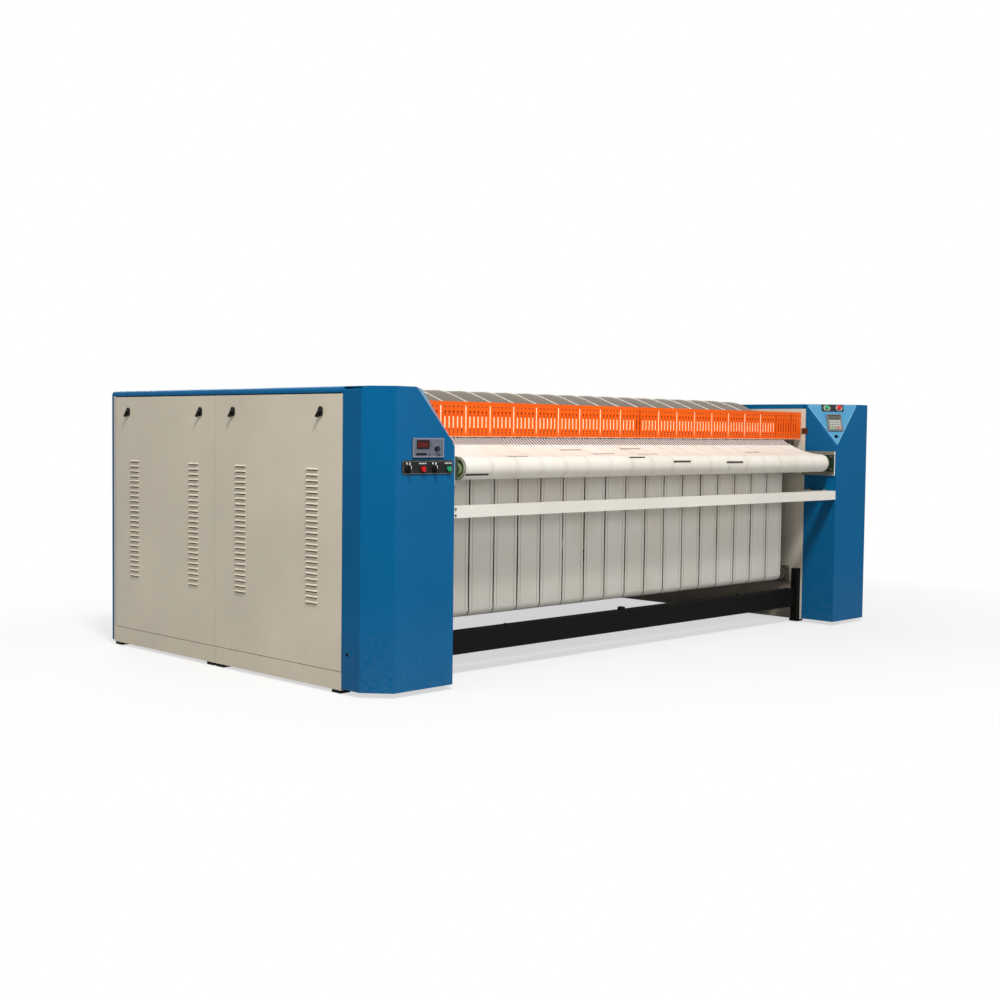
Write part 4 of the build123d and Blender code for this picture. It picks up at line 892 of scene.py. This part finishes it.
def frame_blocks(x0, x1, z0, z1, width, near, far):
    """Four strips round a rectangle."""
    return [(x0, x1, z0, z0 + width, near, far), (x0, x1, z1 - width, z1, near, far),
            (x0, x0 + width, z0 + width, z1 - width, near, far), (x1 - width, x1, z0 + width, z1 - width, near, far)]


def digit(x, z):
    """One seven-segment figure, its lower left corner at x, z."""
    wide, tall, bar = 9.0, 20.0, 1.8
    half = tall / 2
    level = [(x + bar, x + wide - bar, low, low + bar, 7.5, 7.9) for low in (z, z + tall - bar, z + half - bar / 2)]
    return level + [(left, left + bar, low, high, 7.5, 7.9) for left in (x, x + wide - bar)
                    for low, high in ((z + bar, z + half - 0.8), (z + half + 0.8, z + tall - bar))]


def left_controls():
    """Speed display with its window, digits, scale and blank strip; border, labels and marks of the switch plate."""
    x0, x1, z0, z1 = -1844.0, -1661.0, 1042.0, 1128.0
    panel("display_border", display_edge, frame_blocks(x0 + 1.5, x1 - 1.5, z0 + 1.5, z1 - 1.5, 4.0, 8.0, 8.8))
    panel("display_shadow_lip", seal_dark, [(x0 + 4, x1 - 2, z0 - 4.0, z0 - 0.3, 0.0, 6.0)])
    panel("display_window", window_red, [(-1819, -1753, 1083, 1115, 6.0, 7.5)])
    panel("display_bezel", seal_dark, frame_blocks(-1823, -1749, 1079, 1119, 3.2, 8.0, 9.2))
    lit = [part for number in range(4) for part in digit(-1813 + 14.5 * number, 1089)]
    panel("display_digits", digit_red, lit)
    panel("display_blank_strip", seal_dark, [(-1826, -1766, 1052, 1062, 8.0, 8.6)])
    small = ((-1744, -1739, 1104, 1109), (-1744, -1739, 1092, 1097), (-1690, -1684, 1050, 1056),
             (-1750, -1744, 1053, 1059))
    panel("display_lamps", seal_dark, [(*spot, 8.0, 8.8) for spot in small])
    ticks = bmesh.new()
    pot = Vector((-1.707, at(-0.0081), 1.081))
    for step in range(11):
        turn = Matrix.Translation(pot) @ Matrix.Rotation(math.radians(-140 + 28 * step), 4, "Y")
        add_block(ticks, (-0.0006, -0.0004, 0.0150), (0.0006, 0.0002, 0.0205 if step % 5 == 0 else 0.0185), 0.0, turn)
    finish_piece("display_scale", ticks, label_pale, "frame")
    panel("display_pot_ring", dark_grey, [], discs=[(-1707, 1081, 13.5, 8.0, 8.35)])
    left, right, low, high = -1902.0, -1602.0, 968.0, 1031.0
    edge = frame_blocks(left + 5, right - 5, low + 4, high - 4, 0.8, 3.0, 3.35)
    panel("switch_border", key_pale, edge)
    labels = []
    for x in (-1866, -1714):
        labels += [(x - 13, x - 5, 1013, 1021, 3.0, 3.5), (x + 5, x + 13, 1013, 1021, 3.0, 3.5)]
    for x in (-1784, -1632):
        labels += [(x - 20 + 11 * k, x - 12 + 11 * k, 1014, 1020, 3.0, 3.5) for k in range(4)]
    panel("switch_labels", label_pale, labels)
    marks = bmesh.new()
    for x in (-1.866, -1.714):
        centre = Vector((x, at(-0.0032), 0.992))
        for step in range(9):
            turn = Matrix.Translation(centre) @ Matrix.Rotation(math.radians(12 + 10 * step), 4, "Y")
            add_block(marks, (-0.0019, -0.0003, 0.0195), (0.0019, 0.0003, 0.0215), 0.0, turn)
        add_block(marks, (x + 0.0195, at(-0.0035), 0.977), (x + 0.0215, at(-0.0029), 0.990))
    finish_piece("switch_marks", marks, label_pale, "frame")
    rings = bmesh.new()
    for x in (-1.784, -1.632):
        add_ring(rings, (x, at(-0.0030), 0.992), (0, -1, 0), 0.0120, 0.0160, 0.0030, 32)
    finish_piece("button_collars", rings, seal_dark, "frame", 40)


# ------------------------------------------------------------------ controls on the facets
def facet_turn(sign):
    """Matrix of a facet: along its top edge, down it, and out of it, from the middle of the top edge."""
    wide, deep, drop = 0.2334, 0.2249, 0.2575
    out = Vector((-sign / wide, -1 / deep, 1 / drop)).normalized()
    along = Vector((wide, -sign * deep, 0)).normalized()
    down = along.cross(out)
    down = down if down.z < 0 else -down
    middle = Vector((sign * (INNER + wide / 2), at(deep / 2), 1.350))
    return Matrix.Translation(middle) @ Matrix((along, down, out)).transposed().to_4x4()


def facet_blocks(name, finish, sign, blocks):
    """Thin plates on a facet: (left, right, top, bottom, inner, outer) in millimetres, measured down from its top."""
    mesh_data = bmesh.new()
    for x0, x1, y0, y1, z0, z1 in blocks:
        low, high = (x0 / 1000, y0 / 1000, z0 / 1000), (x1 / 1000, y1 / 1000, z1 / 1000)
        add_block(mesh_data, low, high, 0.0, facet_turn(sign))
    return finish_piece(name, mesh_data, finish, "frame")


def facet_details():
    """Pale borders of both facet films; on the right the dark button station, the keypad's screen and keys."""
    half = math.hypot(0.2334, 0.2249) / 2
    height = math.hypot(half, 0.2575)
    corners = [Vector((-half + 0.0118, 0.007, 0)), Vector((0, height - 0.0150, 0)), Vector((half - 0.0118, 0.007, 0))]
    for sign, side in ((-1, "left"), (1, "right")):
        edge = bmesh.new()
        for first, second in zip(corners, corners[1:] + corners[:1]):
            run = second - first
            lean = Matrix.Translation((first + second) / 2) @ Matrix.Rotation(math.atan2(run.y, run.x), 4, "Z")
            reach = run.length / 2 - 0.003
            add_block(edge, (-reach, -0.0018, 0.0015), (reach, 0.0018, 0.0019), 0.0, facet_turn(sign) @ lean)
        finish_piece(f"facet_border_{side}", edge, pale_trim, "frame")
    top, bottom, a, b = 5.5, 54.5, 14.2, 14.2
    plate = [(-67.5, -35 - a, top, bottom, 4.5, 5.1), (-35 + a, 40 - a, top, bottom, 4.5, 5.1),
             (40 + a, 67.5, top, bottom, 4.5, 5.1)]
    for x in (-35, 40):
        plate += [(x - a, x + a, top, 30 - b, 4.5, 5.1), (x - a, x + a, 30 + b, bottom, 4.5, 5.1)]
    facet_blocks("station_plate", black_plastic, 1, plate)
    rings = bmesh.new()
    for x in (-35, 40):
        spot = facet_turn(1) @ Vector((x / 1000, 0.030, 0.0046))
        axis = facet_turn(1).to_3x3() @ Vector((0, 0, 1))
        add_ring(rings, spot, axis, 0.0136, 0.0205, 0.0020, 32)
    finish_piece("station_collars", rings, roller_steel, "frame", 40)
    lift = 13.5
    facet_blocks("keypad_screen", screen_grey, 1, [(-33, 33, 91, 113, 12.0, 13.2)])
    facet_blocks("keypad_screen_edge", seal_dark, 1, [(x0, x1, y0, y1, lift, lift + 0.5) for x0, x1, y0, y1 in
                 ((-38, 38, 86.5, 89.5), (-38, 38, 115.5, 118), (-38, -35.5, 89.5, 115.5), (35.5, 38, 89.5, 115.5))])
    rows = ([], [], [])
    for row in range(4):
        for column in range(4):
            x, y = -33 + 17.5 * column, 124 + 16.5 * row
            tone = 0 if row < 3 else (1 if column < 2 else 2)
            rows[tone].append((x, x + 13.5, y, y + 12, lift, lift + 1.5))
    for tone, (finish, label) in enumerate(((key_pale, "pale"), (key_green, "green"), (key_pink, "pink"))):
        facet_blocks(f"keypad_keys_{label}", finish, 1, rows[tone])


door_details()
roller_details()
end_details()
splices()
guard_details()
left_controls()
facet_details()


# ------------------------------------------------------------------ camera, light and floor
def camera():
    """The photograph's viewpoint: 50 mm on a 36 mm frame, from the front left."""
    yaw, pitch, roll = 0.787808, 0.049031, 0.011742
    forward = Vector((math.sin(yaw) * math.cos(pitch), math.cos(yaw) * math.cos(pitch), -math.sin(pitch)))
    side = Vector((math.cos(yaw), -math.sin(yaw), 0))
    up = side.cross(forward)
    right = math.cos(roll) * side + math.sin(roll) * up
    top = -math.sin(roll) * side + math.cos(roll) * up
    turn = Matrix((right, top, -forward)).transposed().to_4x4()
    data = bpy.data.cameras.new("camera")
    data.lens, data.sensor_width, data.sensor_fit = 50.434, 36.0, "HORIZONTAL"
    data.clip_end = 100.0
    item = bpy.data.objects.new("camera", data)
    item.matrix_world = Matrix.Translation((-5.8751, -5.6380, 1.16095)) @ turn
    bpy.context.scene.collection.objects.link(item)
    bpy.context.scene.camera = item


def lamp(name, place, aim, size, power, colour=(1, 1, 1)):
    """Soft rectangular lamp."""
    data = bpy.data.lights.new(name, "AREA")
    data.shape, data.size, data.size_y = "RECTANGLE", *size
    data.energy, data.color = power, colour
    item = bpy.data.objects.new(name, data)
    turn = (Vector(place) - Vector(aim)).to_track_quat("Z", "Y").to_matrix().to_4x4()
    item.matrix_world = Matrix.Translation(place) @ turn
    bpy.context.scene.collection.objects.link(item)


REFLECTED_SHARE = 0.35                   # how bright the backdrop is in reflections


def surroundings():
    """White backdrop to the camera, soft grey room to everything else, and a pale floor that keeps its shadow."""
    world = bpy.data.worlds.new("studio")
    bpy.context.scene.world = world
    world.use_nodes = True
    tree = world.node_tree
    background = tree.nodes["Background"]
    rays = tree.nodes.new("ShaderNodeLightPath").outputs

    def joined(operation, first, second):
        node = tree.nodes.new("ShaderNodeMath")
        node.operation = operation
        tree.links.new(first, node.inputs[0])
        if isinstance(second, float):
            node.inputs[1].default_value = second
        else:
            tree.links.new(second, node.inputs[1])
        return node.outputs[0]

    reflected = joined("MULTIPLY", rays["Is Glossy Ray"], REFLECTED_SHARE)
    seen = joined("MAXIMUM", rays["Is Camera Ray"], joined("MAXIMUM", rays["Is Transmission Ray"], reflected))
    mix = tree.nodes.new("ShaderNodeMix")
    mix.data_type = "RGBA"
    mix.inputs[6].default_value = (0.17, 0.175, 0.185, 1)
    mix.inputs[7].default_value = (1, 1, 1, 1)
    tree.links.new(seen, mix.inputs[0])
    tree.links.new(mix.outputs[2], background.inputs[0])
    floor_data = bmesh.new()
    bmesh.ops.create_grid(floor_data, x_segments=1, y_segments=1, size=30)
    mesh = bpy.data.meshes.new("floor")
    floor_data.to_mesh(mesh)
    floor_data.free()
    floor = bpy.data.objects.new("floor", mesh)
    floor.location = (0, 0, -0.001)
    bpy.context.scene.collection.objects.link(floor)
    pale = Finish("pale floor", (0.80, 0.80, 0.80), 0.8)
    x, y, z = pale.axes()
    reach = (x * x * 0.55 + y * y).power(0.5)
    nodes, links = pale.tree.nodes, pale.tree.links
    glow = nodes.new("ShaderNodeEmission")
    glow.inputs[0].default_value, glow.inputs[1].default_value = (1, 1, 1, 1), 1.0
    rays = Value(pale, nodes.new("ShaderNodeLightPath").outputs["Is Camera Ray"])
    pale.set("Base Color", pale.mix(rays, (0.32, 0.32, 0.32), (0.86, 0.86, 0.86)))
    share = rays * pale.ramp(reach, 1.6, 3.4, 0.62, 1.0)
    blend = pale.add("ShaderNodeMixShader")
    links.new(share.socket, blend.socket.node.inputs[0])
    links.new(pale.shader.outputs[0], blend.socket.node.inputs[1])
    links.new(glow.outputs[0], blend.socket.node.inputs[2])
    links.new(blend.socket, nodes["Material Output"].inputs["Surface"])
    pale.on(floor)


camera()
surroundings()
lamp("key", (-4.4, -5.6, 9.8), (0.2, -0.4, 0.6), (1.7, 1.7), 1080, (1.0, 0.985, 0.96))
lamp("front", (1.5, -11.0, 2.6), (0.2, -1.0, 0.8), (5.0, 3.0), 290, (0.98, 0.99, 1.0))
lamp("left", (-11.0, 0.5, 4.2), (-2.0, 0.2, 0.8), (4.0, 3.0), 150, (1.0, 0.98, 0.95))
lamp("rear", (2.0, 8.5, 5.0), (0, 0.8, 0.8), (5.0, 3.0), 240)
bpy.context.scene.view_settings.view_transform = "Standard"
